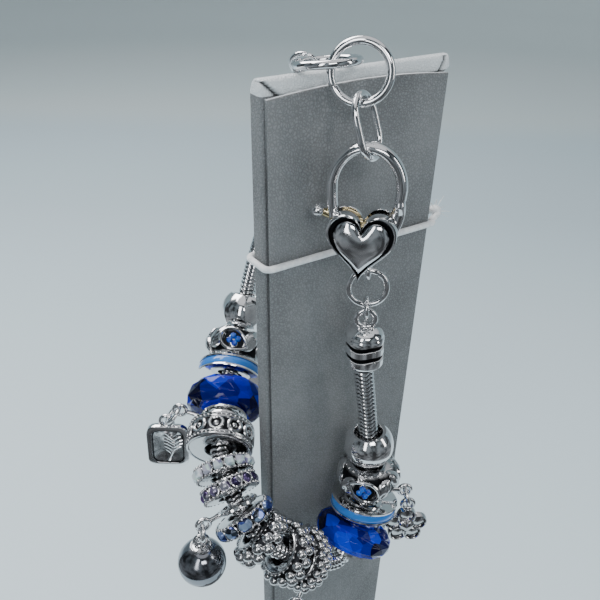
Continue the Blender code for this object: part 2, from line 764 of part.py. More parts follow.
def make_leaf_bead(name, home):
    """Bead of overlapping leaves with a cell of blue stones."""
    body_radius = LEAF_RADIUS - 0.75 * MM
    bulge = [(0.5, 1.0), (0.85, 0.72), (1.0, 0.3), (1.0, -0.3), (0.85, -0.72), (0.5, -1.0)]
    bead = turned(name, bead_frame_profile(body_radius, LEAF_LENGTH, bulge), home, RELIEF_SIDES)
    forms = []
    for i in range(4):
        angle = math.tau * i / 4 + 0.6
        forms.append((leaf(5.0 * MM, 2.7 * MM, 1.6 * MM),
                      around(body_radius - 0.1 * MM, angle, 0.35 * MM, 0.12, 0.95)))
        forms.append((leaf(4.2 * MM, 2.2 * MM, 1.4 * MM),
                      around(body_radius - 0.15 * MM, angle + 0.78, -0.7 * MM, -0.2, -0.75)))
    for i in range(3):
        forms.append((cut_stone(0.62 * MM, 1.8 * MM),
                      around(body_radius, 0.1 + 0.05 * i, (1.3 * i - 1.3) * MM)))
    combine(bead, scatter(name + "_leaves", forms, home), "UNION")
    return dress(smooth(frozen(bead), 40), OXIDISED, 0.25)


def make_enamel_bead(name, home):
    """Enamelled ring between two silver rims."""
    bore = CHAIN_RADIUS + CHAIN_CLEARANCE
    half = ENAMEL_LENGTH / 2
    rim = 0.35 * MM
    profile = [(bore, half), (ENAMEL_RADIUS - 0.2 * MM, half), (ENAMEL_RADIUS, half - 0.12 * MM),
               (ENAMEL_RADIUS, half - rim), (ENAMEL_RADIUS - 0.15 * MM, half - rim - 0.1 * MM),
               (ENAMEL_RADIUS - 0.15 * MM, -half + rim + 0.1 * MM), (ENAMEL_RADIUS, -half + rim),
               (ENAMEL_RADIUS, -half + 0.12 * MM), (ENAMEL_RADIUS - 0.2 * MM, -half), (bore, -half)]
    return dress(smooth(turned(name, profile, home), 30), SKY_ENAMEL, 0.15, 0.0)


def make_glass_bead(name, home):
    """Faceted glass bead on a flanged silver core."""
    bore = CORE_RADIUS + GAP
    half = GLASS_LENGTH / 2 - CORE_RIM_LENGTH - GAP
    # Radius and height shares of the facet rows from top to bottom
    rows = [(0.62, 1.0), (0.86, 0.62), (1.0, 0.0), (0.86, -0.62), (0.62, -1.0)]
    sides = 12

    def build(work):
        made = []
        for number, (wide, high) in enumerate(rows):
            shift = 0.5 * (number % 2)
            made.append([work.verts.new((GLASS_RADIUS * wide * math.cos(math.tau * (i + shift) / sides),
                                         GLASS_RADIUS * wide * math.sin(math.tau * (i + shift) / sides),
                                         half * high)) for i in range(sides)])
        for high in (-half, half):
            made.append([work.verts.new((bore * math.cos(math.tau * i / sides),
                                         bore * math.sin(math.tau * i / sides), high)) for i in range(sides)])
        for number, (upper, lower) in enumerate(zip(made[:4], made[1:5])):
            for i in range(sides):
                j = (i + 1) % sides
                if number % 2 == 0:
                    work.faces.new((upper[i], upper[j], lower[i]))
                    work.faces.new((lower[i], upper[j], lower[j]))
                else:
                    work.faces.new((upper[i], lower[j], lower[i]))
                    work.faces.new((upper[i], upper[j], lower[j]))
        for upper, lower in ((made[4], made[5]), (made[5], made[6]), (made[6], made[0])):
            for i in range(sides):
                j = (i + 1) % sides
                work.faces.new((upper[i], upper[j], lower[j], lower[i]))
    dress(add_object(name, mesh_from(build, name), home), COBALT, 0.05, 0.0)

    inner = CHAIN_RADIUS + CHAIN_CLEARANCE
    full = GLASS_LENGTH / 2
    step = full - CORE_RIM_LENGTH
    profile = [(inner, full), (CORE_RIM_RADIUS, full), (CORE_RIM_RADIUS, step), (CORE_RADIUS, step),
               (CORE_RADIUS, -step), (CORE_RIM_RADIUS, -step), (CORE_RIM_RADIUS, -full), (inner, -full)]
    dress(smooth(turned(name.replace("glass_bead", "glass_core"), profile, home)))


def make_granule_bead(name, home, radius, length, grain, count):
    """Silver bead with two rows of grains."""
    body = radius - grain * 0.9
    bulge = [(0.5, 1.0), (0.95, 0.6), (1.02, 0.0), (0.95, -0.6), (0.5, -1.0)]
    bead = turned(name, bead_frame_profile(body, length, bulge), home, RELIEF_SIDES)
    forms = []
    for row in (1, -1):
        for i in range(count):
            angle = math.tau * (i + 0.25 * row) / count
            forms.append((granule(grain), around(body * 0.97, angle, row * length * 0.27, row * 0.3)))
    combine(bead, scatter(name + "_grains", forms, home), "UNION")
    return dress(smooth(frozen(bead), 60), OXIDISED, 0.25)


def make_stone_bead(name, home, stone, height):
    """Rondelle with a row of set stones between two rims."""
    body = STONE_BEAD_RADIUS - height * 0.7
    bulge = [(0.6, 1.0), (1.08, 0.8), (1.08, 0.62), (0.95, 0.55), (0.95, -0.55), (1.08, -0.62),
             (1.08, -0.8), (0.6, -1.0)]
    bead = turned(name, bead_frame_profile(body, STONE_BEAD_LENGTH, bulge), home, RELIEF_SIDES)
    forms = [(cut_stone(stone, height), around(body * 0.97, math.tau * i / STONE_COUNT, 0.0))
             for i in range(STONE_COUNT)]
    combine(bead, scatter(name + "_stones", forms, home), "UNION")
    return dress(smooth(frozen(bead), 30), OXIDISED, 0.2)


def make_circle_bead(name, home):
    """Silver bead with a raised row of rings between its rims."""
    body = CIRCLE_BEAD_RADIUS - 0.35 * MM
    bulge = [(0.75, 1.0), (1.07, 0.86), (1.07, 0.66), (0.97, 0.58), (0.97, -0.58), (1.07, -0.66),
             (1.07, -0.86), (0.75, -1.0)]
    bead = turned(name, bead_frame_profile(body, CIRCLE_BEAD_LENGTH, bulge), home, RELIEF_SIDES)
    forms = [(lambda work: bmesh.ops.create_cone(work, cap_ends=True, segments=8, radius1=1.25 * MM,
                                                 radius2=1.0 * MM, depth=0.9 * MM),
              around(body * 0.95, math.tau * i / CIRCLE_COUNT, 0.0)) for i in range(CIRCLE_COUNT)]
    combine(bead, scatter(name + "_circles", forms, home), "UNION")
    return dress(smooth(frozen(bead), 30), OXIDISED, 0.2)


def make_bail(name, home, out, hang_axis, reach):
    """Thin ring round the chain, with a stem that ends in an eye for a jump ring."""
    bore = CHAIN_RADIUS + CHAIN_CLEARANCE
    half = BAIL_LENGTH / 2
    soft = 0.15 * MM
    profile = [(bore, half), (BAIL_RADIUS - soft, half), (BAIL_RADIUS, half - soft),
               (BAIL_RADIUS, -half + soft), (BAIL_RADIUS - soft, -half), (bore, -half)]
    bail = turned(name, profile, home, RELIEF_SIDES)
    along = home.to_3x3() @ UP
    stem_home = axes(home.translation, out, along)
    stem = box(name + "_stem", (BAIL_RADIUS - 0.5 * MM, -BAIL_STEM_WIDTH / 2, -BAIL_STEM_THICKNESS / 2),
               (reach - EYE_RADIUS + 0.1 * MM, BAIL_STEM_WIDTH / 2, BAIL_STEM_THICKNESS / 2), stem_home)
    combine(bail, stem, "UNION")
    eye_place = home.translation + out * reach
    eye = ring(name + "_eye", EYE_RADIUS, EYE_WIRE, axes(eye_place, UP, hang_axis), 10, 5)
    combine(bail, eye, "UNION")
    dress(smooth(frozen(bail), 40))
    return eye_place


def make_jump_ring(name, eye_place, hang_axis, down):
    """Jump ring that hangs in a bail's eye; returns the point where its charm hangs."""
    pull = EYE_RADIUS - EYE_WIRE - JUMP_WIRE
    top = eye_place + down * (pull - GAP / 2)
    centre = top + down * (JUMP_RADIUS - JUMP_WIRE)
    side = hang_axis.cross(down).normalized()
    dress(ring(name, JUMP_RADIUS, JUMP_WIRE, axes(centre, hang_axis, side), 10, 5))
    return centre + down * (JUMP_RADIUS + EYE_RADIUS - EYE_WIRE - JUMP_WIRE - GAP / 2)


def charm_home(seat, hang_axis):
    """Frame of a hanging charm: x along its width, y up, z along its hole."""
    side = UP.cross(hang_axis).normalized()
    return axes(seat, side, hang_axis)


def add_charm_eye(charm, home):
    """Fuse an eye round the home's origin to a charm."""
    eye = ring(charm.name + "_eye", EYE_RADIUS, EYE_WIRE, home, 10, 5)
    combine(charm, eye, "UNION")
    return frozen(charm)


def make_plate_charm(seat, hang_axis):
    """Flat rounded plate."""
    home = charm_home(seat, hang_axis)
    drop = EYE_RADIUS + PLATE_HEIGHT / 2 - 0.1 * MM
    section = rounded_section(PLATE_WIDTH / 2, PLATE_HEIGHT / 2, 1.6 * MM, 0.0, 4)
    outline = [(point.x, point.y - drop) for point in section]
    inner = [((x * 0.9), (y + drop) * 0.9 - drop) for x, y in outline]
    half = PLATE_THICKNESS / 2
    rings = [[Vector((x, y, z)) for x, y in line] for line, z in
             ((inner, -half), (outline, -half + 0.2 * MM), (outline, half - 0.2 * MM), (inner, half))]
    plate = loft("plate_charm", rings, home)
    dress(smooth(add_charm_eye(plate, home), 40))


def make_ball_charm(seat, hang_axis):
    """Polished hanging ball."""
    home = charm_home(seat, hang_axis)
    ball = scatter("ball_charm", [(lambda work: bmesh.ops.create_uvsphere(
        work, u_segments=12, v_segments=8, radius=HANGING_BALL_RADIUS),
        Matrix.Translation((0, -(EYE_RADIUS + HANGING_BALL_RADIUS - 0.1 * MM), 0)))], home)
    dress(smooth(add_charm_eye(ball, home), 40))


def make_flower_charm(seat, hang_axis):
    """Cast flower of round petals about a raised heart."""
    home = charm_home(seat, hang_axis)
    petals = 5
    drop = EYE_RADIUS + FLOWER_RADIUS - 0.1 * MM
    count = petals * 6
    half = FLOWER_THICKNESS / 2
    rings = []
    for share, rise in ((0.88, -half), (1.0, -half + 0.3 * MM), (0.85, half),
                        (0.4, half - 0.35 * MM), (0.3, half + 0.1 * MM), (0.12, half + 0.25 * MM)):
        row = []
        for i in range(count):
            angle = math.tau * i / count + math.pi / 2
            reach = FLOWER_RADIUS * share * (0.78 + 0.22 * abs(math.cos(petals * (angle - math.pi / 2) / 2)))
            row.append(Vector((reach * math.cos(angle), reach * math.sin(angle) - drop, rise)))
        rings.append(row)
    flower = loft("flower_charm", rings, home)
    dress(smooth(add_charm_eye(flower, home), 40), OXIDISED, 0.25)


def make_drop_charm(seat, hang_axis):
    """Plain hanging drop."""
    home = charm_home(seat, hang_axis)
    top = -(EYE_RADIUS - 0.1 * MM)
    # Radius and length shares of the drop from its neck down
    shares = [(0.0, 0.0), (0.22, 0.06), (0.42, 0.28), (0.8, 0.52), (1.0, 0.72), (0.86, 0.88), (0.5, 0.97),
              (0.0, 1.0)]
    profile = [(DROP_RADIUS * wide, -DROP_LENGTH * down) for wide, down in shares]
    to_up = Matrix.Translation((0, top, 0)) @ Matrix.Rotation(-math.pi / 2, 4, "X")
    drop = turned("bottom_charm", profile, home @ to_up, 12)
    dress(smooth(add_charm_eye(drop, home), 40))


def make_end_caps(ring_foot, rear_hang, rear_tangent):
    """Small links and end caps at both ends; returns where the chain enters them."""
    inside = SMALL_LINK_RADIUS - SMALL_LINK_WIRE - GAP
    front_axis = Vector(FRONT_CAP_AXIS).normalized()
    link_centre = ring_foot + front_axis * (inside - CLASP_RING_WIRE)
    eye_top = link_centre + front_axis * (inside - CAP_EYE_WIRE)
    link_home = axes(link_centre, front_axis, VIEW_RIGHT)
    dress(ring("cap_link_front", SMALL_LINK_RADIUS, SMALL_LINK_WIRE, link_home))
    front = make_cap("end_cap_front", eye_top, front_axis, -VIEW_AWAY)

    rear_axis = Vector(REAR_CAP_AXIS).normalized()
    link_axis = Vector(REAR_LINK_AXIS).normalized()
    inside = REAR_LINK_RADIUS - SMALL_LINK_WIRE - GAP
    link_centre = rear_hang + link_axis * (inside - RING_WIRE)
    eye_top = link_centre + link_axis * (inside - CAP_EYE_WIRE)
    across = (rear_tangent - link_axis * rear_tangent.dot(link_axis)).normalized()
    across = across * math.cos(REAR_LINK_TILT) + across.cross(link_axis) * math.sin(REAR_LINK_TILT)
    link_home = axes(link_centre, link_axis, across)
    dress(ring("cap_link_rear", REAR_LINK_RADIUS, SMALL_LINK_WIRE, link_home))
    rear = make_cap("end_cap_rear", eye_top, rear_axis, link_axis.cross(across))
    return front, front_axis, rear, rear_axis


def make_chain(front, front_axis, rear, rear_axis):
    """Snake chain from cap to cap; returns its route and the length before its front mouth."""
    hidden = CAP_BORE_DEPTH - GAP
    straight = CHAIN_STRAIGHT
    points = [front - front_axis * hidden, front, front + front_axis * straight]
    points += [place(*point) for point in CHAIN_ROUTE]
    points += [rear + rear_axis * straight, rear, rear - rear_axis * hidden]
    route = Route(points)
    count = round(route.length / CHAIN_SPACING)
    chain = tube("snake_chain", [route.at(route.length * i / count) for i in range(count + 1)], CHAIN_RADIUS)
    dress(smooth(frozen(chain), 70))
    return route, hidden


class Thread:
    """Seats beads one after another on the route, each just clear of the last."""

    def __init__(self, route, start):
        self.route = route
        self.travelled = start
        self.last = None

    def reach(self, corners, angle):
        """Half-length of a bead in a direction at an angle to its axis."""
        return max(half * math.cos(angle) + radius * math.sin(angle) for radius, half in corners)

    def is_clear(self, home, corners):
        """True when the last bead and this one leave the gap between them."""
        old_home, old_corners = self.last
        old_axis, axis = (matrix.to_3x3() @ UP for matrix in (old_home, home))
        apart = (home.translation - old_home.translation).dot((old_axis + axis).normalized())
        angle = old_axis.angle(axis) / 2
        return apart >= self.reach(old_corners, angle) + self.reach(corners, angle) + BEAD_GAP

    def seat(self, corners):
        """Frame of the next bead; corners are the radius and half-length pairs of its outline."""
        half = max(length for _, length in corners)
        travelled = self.travelled + half
        home = self.route.frame(travelled, half)
        while self.last and not self.is_clear(home, corners):
            travelled += 0.05 * MM
            home = self.route.frame(travelled, half)
        self.travelled = travelled
        self.last = (home, corners)
        return home


def make_beads(route, start):
    """Thread the beads and bails on the chain, from the front cap round to the rear."""
    half_glass = GLASS_LENGTH / 2
    ball = [(0.65 * BALL_RADIUS, BALL_LENGTH / 2)]
    leaves = [(0.62 * LEAF_RADIUS, LEAF_LENGTH / 2), (0.92 * LEAF_RADIUS, 0.41 * LEAF_LENGTH)]
    enamel = [(ENAMEL_RADIUS - 0.2 * MM, ENAMEL_LENGTH / 2),
              (ENAMEL_RADIUS, ENAMEL_LENGTH / 2 - 0.12 * MM)]
    glass = [(CORE_RIM_RADIUS, half_glass), (0.62 * GLASS_RADIUS, half_glass - CORE_RIM_LENGTH - GAP),
             (0.86 * GLASS_RADIUS, half_glass / 2), (GLASS_RADIUS, 0.0)]
    grains = [(0.66 * GRANULE_BEAD_RADIUS, GRANULE_BEAD_LENGTH / 2),
              (0.95 * GRANULE_BEAD_RADIUS, 0.42 * GRANULE_BEAD_LENGTH)]
    berry = [(0.8 * BERRY_BEAD_RADIUS, 0.53 * BERRY_BEAD_LENGTH),
             (0.94 * BERRY_BEAD_RADIUS, 0.46 * BERRY_BEAD_LENGTH)]
    stones = [(0.68 * STONE_BEAD_RADIUS, STONE_BEAD_LENGTH / 2),
              (0.87 * STONE_BEAD_RADIUS, 0.4 * STONE_BEAD_LENGTH),
              (STONE_BEAD_RADIUS, 0.3 * STONE_BEAD_LENGTH)]
    circles = [(0.8 * CIRCLE_BEAD_RADIUS, CIRCLE_BEAD_LENGTH / 2),
               (0.97 * CIRCLE_BEAD_RADIUS, 0.43 * CIRCLE_BEAD_LENGTH)]
    bail = [(BAIL_RADIUS, BAIL_LENGTH / 2)]
    row = Thread(route, start + FRONT_CHAIN_LENGTH)
    make_ball("ball_bead_front", row.seat(ball))
    make_leaf_bead("leaf_bead_front", row.seat(leaves))
    hang_flower(row.seat(bail))
    make_enamel_bead("enamel_bead_front", row.seat(enamel))
    make_glass_bead("glass_bead_front", row.seat(glass))
    hang_drop(row.seat(bail))
    for number in (1, 2):
        make_granule_bead(f"granule_bead_{number}", row.seat(grains), GRANULE_BEAD_RADIUS,
                          GRANULE_BEAD_LENGTH, GRANULE_RADIUS, GRANULE_COUNT)
    make_granule_bead("berry_bead", row.seat(berry), BERRY_BEAD_RADIUS, BERRY_BEAD_LENGTH,
                      BERRY_GRAIN_RADIUS, BERRY_GRAIN_COUNT)
    make_stone_bead("crystal_rondelle", row.seat(stones), *CRYSTAL_SIZE)
    hang_ball(row.seat(bail))
    make_stone_bead("cabochon_rondelle", row.seat(stones), *CABOCHON_SIZE)
    make_stone_bead("square_stone_rondelle", row.seat(stones), *SQUARE_STONE_SIZE)
    make_circle_bead("circle_bead", row.seat(circles))
    hang_plate(row.seat(bail))
    make_glass_bead("glass_bead_rear", row.seat(glass))
    make_enamel_bead("enamel_bead_rear", row.seat(enamel))
    make_leaf_bead("leaf_bead_rear", row.seat(leaves))
    make_ball("ball_bead_rear", row.seat(ball))


def hang(prefix, home, side, hang_axis, reach, lean):
    """Bail, jump ring and hanging point of one charm."""
    along = home.to_3x3() @ UP
    out = (Vector(side) - along * Vector(side).dot(along)).normalized()
    turn = Vector(hang_axis).normalized()
    flat = (out - UP * out.dot(UP) - turn * out.dot(turn)).normalized()
    down = (flat * lean - UP).normalized()
    eye_place = make_bail(prefix + "_bail", home, out, turn, reach)
    return make_jump_ring(prefix + "_ring", eye_place, turn, down), turn


def hang_flower(home):
    """Flower charm beside the front leaf bead."""
    make_flower_charm(*hang("flower", home, FLOWER_SIDE, FLOWER_HOLE, FLOWER_EYE_REACH, FLOWER_LEAN))


def hang_drop(home):
    """Drop charm below the front glass bead."""
    make_drop_charm(*hang("bottom", home, DROP_SIDE, DROP_HOLE, DROP_EYE_REACH, DROP_LEAN))


def hang_ball(home):
    """Ball charm at the bracelet's outer bend."""
    make_ball_charm(*hang("ball_charm", home, BALL_SIDE, BALL_HOLE, BALL_EYE_REACH, BALL_LEAN))


def hang_plate(home):
    """Plate charm beside the rear glass bead."""
    make_plate_charm(*hang("plate", home, PLATE_SIDE, PLATE_HOLE, PLATE_EYE_REACH, PLATE_LEAN))


def main():
    """Build the stand and the bracelet."""
    make_stand()
    make_elastic()
    clasp_home = make_clasp()
    hang_points = make_top_links(clasp_home)
    front, front_axis, rear, rear_axis = make_end_caps(*hang_points)
    route, start = make_chain(front, front_axis, rear, rear_axis)
    make_beads(route, start)


main()
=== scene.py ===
"""Charm bracelet on its display board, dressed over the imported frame.

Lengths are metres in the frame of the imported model: +Z up, the board's face looks
along -Y, and the origin is the middle of the stand's foot.
"""
import logging
import math
from dataclasses import dataclass, field
from enum import Enum

import bmesh
import bpy
import numpy as np
from mathutils import Matrix, Vector, noise


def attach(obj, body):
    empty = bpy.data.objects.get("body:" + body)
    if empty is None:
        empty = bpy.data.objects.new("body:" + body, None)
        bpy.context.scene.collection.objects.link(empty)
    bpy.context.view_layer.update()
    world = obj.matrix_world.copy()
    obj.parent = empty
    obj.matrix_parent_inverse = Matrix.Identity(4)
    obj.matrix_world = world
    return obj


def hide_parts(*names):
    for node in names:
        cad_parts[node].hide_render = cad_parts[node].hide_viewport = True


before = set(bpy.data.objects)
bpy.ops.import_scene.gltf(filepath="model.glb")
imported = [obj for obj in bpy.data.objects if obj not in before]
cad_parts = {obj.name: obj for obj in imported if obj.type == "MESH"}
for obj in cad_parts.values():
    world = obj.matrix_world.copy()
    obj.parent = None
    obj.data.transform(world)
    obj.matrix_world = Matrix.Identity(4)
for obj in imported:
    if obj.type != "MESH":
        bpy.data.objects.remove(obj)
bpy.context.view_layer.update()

LOG = logging.getLogger("charm_bracelet")

MM = 0.001
UP = Vector((0.0, 0.0, 1.0))
TOP_Z = 146.3 * MM
FRONT_Y = -1.8 * MM
VIEW_RIGHT = Vector((0.815, -0.579, 0.0))
VIEW_AWAY = Vector((0.579, 0.815, 0.0))
CAMERA_SIDE = Vector((-0.46, -0.52, 0.72))
ROOT = "bracelet_and_stand"
LEVER = "clasp_lever"

# The snake chain's route between its end caps, millimetres from the board's top front edge
CHAIN_ROUTE: list[tuple[float, float, float]] = [
    (0.1, -5.4, -46.5), (1.1, -5.7, -55.0), (0.9, -6.0, -60.6), (-0.2, -6.4, -65.6),
    (-2.1, -6.9, -69.6), (-4.6, -7.4, -72.3), (-8.0, -7.7, -71.2), (-11.7, -7.4, -68.3),
    (-15.0, -6.7, -65.6), (-17.7, -5.2, -63.0), (-19.2, -2.5, -60.1), (-19.7, 0.0, -57.4),
    (-19.4, 3.0, -55.4), (-18.3, 6.4, -53.3), (-15.0, 10.6, -51.5), (-12.2, 14.6, -50.0),
    (-8.4, 18.9, -46.8), (-5.0, 21.6, -42.0), (-3.0, 22.4, -36.0), (-2.0, 20.4, -28.0),
    (-2.6, 15.8, -19.6), (-4.0, 11.0, -12.8),
]


class Stone(Enum):
    """Cuts of the set stones."""

    CRYSTAL = "crystal"
    CABOCHON = "cabochon"
    SQUARE = "square"


def place(x: float, y: float, z: float) -> Vector:
    """Return the point at millimetres from the middle of the board's top front edge."""
    return Vector((x * MM, FRONT_Y + y * MM, TOP_Z + z * MM))


def flat_points(*spots: tuple[float, float]) -> list[Vector]:
    """Return points of a plane from their millimetres."""
    return [Vector((x * MM, y * MM, 0.0)) for x, y in spots]


def axes(origin: Vector, x_axis: Vector, z_axis: Vector) -> Matrix:
    """Return a frame with its z axis as given and its x axis as near as it can be.

    Args:
        origin: The frame's origin.
        x_axis: Wished direction of x.
        z_axis: Direction of z.

    Returns:
        The frame as a 4x4 matrix.
    """
    z_unit = z_axis.normalized()
    x_unit = (x_axis - z_unit * x_axis.dot(z_unit)).normalized()
    turn = Matrix((x_unit, z_unit.cross(x_unit), z_unit)).transposed().to_4x4()
    return Matrix.Translation(origin) @ turn


def node_points(name: str) -> np.ndarray:
    """Return the vertices of a CAD node in the frame of the model."""
    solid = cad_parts[name]
    flat = np.empty(len(solid.data.vertices) * 3)
    solid.data.vertices.foreach_get("co", flat)
    where = np.array(solid.matrix_world)
    return flat.reshape(-1, 3) @ where[:3, :3].T + where[:3, 3]


def node_home(name: str, toward: Vector = CAMERA_SIDE, long_axis: bool = False,
              along: Vector | None = None) -> Matrix:
    """Fit a frame to a CAD node: z is its axis, x looks as near to a direction as it can.

    Args:
        name: The CAD node.
        toward: Wished direction of x.
        long_axis: True if the node is longest along its axis, as a cap is.
        along: Direction that z agrees with, where the axis could point either way.

    Returns:
        The frame, with its origin in the middle of the node.
    """
    points = node_points(name)
    mean = points.mean(axis=0)
    vectors = np.linalg.svd(points - mean, full_matrices=False)[2]
    axis = Vector(vectors[0 if long_axis else 2].tolist())
    if along is not None and axis.dot(along) < 0:
        axis.negate()
    home = axes(Vector(mean.tolist()), toward, axis)
    turn = np.array(home.to_3x3())
    local = (points - mean) @ turn
    middle = (local.min(axis=0) + local.max(axis=0)) / 2
    return home @ Matrix.Translation(Vector(middle.tolist()))


def node_span(name: str, home: Matrix) -> tuple[Vector, Vector]:
    """Return the lowest and highest corner of a CAD node in a frame."""
    turn = np.array(home.inverted())
    local = node_points(name) @ turn[:3, :3].T + turn[:3, 3]
    return Vector(local.min(axis=0).tolist()), Vector(local.max(axis=0).tolist())


def catmull(points: list[Vector], per_span: int) -> list[Vector]:
    """Return a smooth curve through points.

    Args:
        points: The points.
        per_span: Samples between each two of them.

    Returns:
        The curve's points.
    """
    ends = [points[0] * 2 - points[1]] + points + [points[-1] * 2 - points[-2]]
    samples = []
    for before, start, stop, after in zip(ends, ends[1:], ends[2:], ends[3:]):
        for i in range(per_span):
            t = i / per_span
            samples.append(0.5 * (start * 2 + (stop - before) * t
                                  + (before * 2 - start * 5 + stop * 4 - after) * t ** 2
                                  + (start * 3 - before - stop * 3 + after) * t ** 3))
    return samples + [points[-1].copy()]


# ---- Node trees -------------------------------------------------------------


def rgba(colour: tuple[float, float, float]) -> tuple[float, float, float, float]:
    """Return a colour with full alpha."""
    return (*colour, 1.0)


def node_group(name: str, kind: str, sockets: list[tuple[str, str, str, object]]) -> bpy.types.NodeTree:
    """Make a node group with named sockets.

    Args:
        name: The group's name.
        kind: Its tree type.
        sockets: Name, INPUT or OUTPUT, socket type and default of each socket.

    Returns:
        The new group.
    """
    tree = bpy.data.node_groups.new(name, kind)
    for label, way, socket_type, default in sockets:
        made = tree.interface.new_socket(name=label, in_out=way, socket_type=socket_type)
        if default is not None:
            made.default_value = default
    return tree


def feed(node: bpy.types.Node, inputs: dict[str | int, object]) -> None:
    """Give a node's inputs their values, or links where the value is a socket.

    Args:
        node: The node.
        inputs: Value or socket for each input, by its name or number.
    """
    for key, value in inputs.items():
        if isinstance(value, bpy.types.NodeSocket):
            node.id_data.links.new(value, node.inputs[key])
        else:
            node.inputs[key].default_value = value


def add_node(tree: bpy.types.NodeTree, kind: str, inputs: dict[str | int, object] | None = None,
             **settings: object) -> bpy.types.Node:
    """Add a node to a tree.

    Args:
        tree: The node tree.
        kind: The node's type.
        inputs: Value or socket for each input, by its name or number.
        settings: The node's properties.

    Returns:
        The new node.
    """
    node = tree.nodes.new(kind)
    for label, value in settings.items():
        setattr(node, label, value)
    feed(node, inputs or {})
    return node


def add_math(tree: bpy.types.NodeTree, operation: str, first: object, second: object,
             clamp: bool = False) -> bpy.types.NodeSocket:
    """Add a Math node.

    Args:
        tree: The node tree.
        operation: What the node does.
        first: First number or socket.
        second: Second number or socket.
        clamp: True to hold the result between 0 and 1.

    Returns:
        Its output.
    """
    return add_node(tree, "ShaderNodeMath", {0: first, 1: second}, operation=operation,
                    use_clamp=clamp).outputs[0]


def map_range(tree: bpy.types.NodeTree, value: bpy.types.NodeSocket, low: float = 0.0, high: float = 1.0,
              to_low: object = 0.0, to_high: object = 1.0, smooth: bool = False) -> bpy.types.NodeSocket:
    """Map a value from one range to another.

    Args:
        tree: The node tree.
        value: The value.
        low: Start of its range.
        high: End of its range.
        to_low: Start of the new range, a number or a socket.
        to_high: End of the new range, a number or a socket.
        smooth: True to ease in and out.

    Returns:
        The mapped value.
    """
    return add_node(tree, "ShaderNodeMapRange", {
        "Value": value, "From Min": low, "From Max": high, "To Min": to_low, "To Max": to_high},
        interpolation_type="SMOOTHSTEP" if smooth else "LINEAR").outputs[0]


def object_place(tree: bpy.types.NodeTree) -> bpy.types.NodeSocket:
    """Return the Object coordinates."""
    return add_node(tree, "ShaderNodeTexCoord").outputs["Object"]


def cloud_at(tree: bpy.types.NodeTree, where: bpy.types.NodeSocket, scale: float,
             detail: float) -> bpy.types.NodeSocket:
    """Return a cloudy value between 0 and 1 at a place."""
    return add_node(tree, "ShaderNodeTexNoise", {"Vector": where, "Scale": scale, "Detail": detail}).outputs[0]


def relief_normal(tree: bpy.types.NodeTree, height: bpy.types.NodeSocket, depth: float,
           strength: object) -> bpy.types.NodeSocket:
    """Return the normal of a relief that is depth metres high."""
    return add_node(tree, "ShaderNodeBump", {
        "Height": height, "Distance": depth, "Strength": strength}).outputs[0]


def mix(tree: bpy.types.NodeTree, first: object, second: object, factor: object = 1.0,
        blend: str = "MIX") -> bpy.types.NodeSocket:
    """Mix two colours.

    Args:
        tree: The node tree.
        first: First colour or socket.
        second: Second colour or socket.
        factor: Share of the second, a number or a socket.
        blend: How they mix.

    Returns:
        The mixed colour.
    """
    return add_node(tree, "ShaderNodeMix", {"Factor": factor, "A": first, "B": second},
                    data_type="RGBA", blend_type=blend).outputs["Result"]


def ramp(tree: bpy.types.NodeTree, value: bpy.types.NodeSocket,
         stops: list[tuple[float, tuple[float, float, float]]]) -> bpy.types.NodeSocket:
    """Colour a value by a ramp.

    Args:
        tree: The node tree.
        value: The value.
        stops: Place and colour of each stop.

    Returns:
        The ramp's colour.
    """
    node = add_node(tree, "ShaderNodeValToRGB", {0: value})
    bar = node.color_ramp.elements
    while len(bar) < len(stops):
        bar.new(0.5)
    for knob, (at, colour) in zip(bar, stops):
        knob.position = at
        knob.color = rgba(colour)
    return node.outputs[0]


def smudge_group() -> bpy.types.NodeTree:
    """Make the group that gives handled metal its uneven gloss and its fine scratches."""
    tree = node_group("handled_gloss", "ShaderNodeTree", [
        ("Low Roughness", "INPUT", "NodeSocketFloat", 0.06),
        ("High Roughness", "INPUT", "NodeSocketFloat", 0.16),
        ("Scratch Depth", "INPUT", "NodeSocketFloat", 0.02),
        ("Roughness", "OUTPUT", "NodeSocketFloat", None),
        ("Shade", "OUTPUT", "NodeSocketFloat", None),
        ("Normal", "OUTPUT", "NodeSocketVector", None)])
    start, end = add_node(tree, "NodeGroupInput"), add_node(tree, "NodeGroupOutput")
    where = object_place(tree)
    cloud = cloud_at(tree, where, 420.0, 5.0)
    stretch = add_node(tree, "ShaderNodeMapping", {"Vector": where, "Scale": (1.0, 1.0, 14.0)})
    scratch = cloud_at(tree, stretch.outputs[0], 900.0, 3.0)
    feed(end, {
        "Roughness": map_range(tree, cloud, 0.38, 0.66, start.outputs["Low Roughness"],
                               start.outputs["High Roughness"]),
        "Shade": map_range(tree, cloud, to_low=0.9),
        "Normal": relief_normal(tree, scratch, 0.02 * MM, start.outputs["Scratch Depth"])})
    return tree


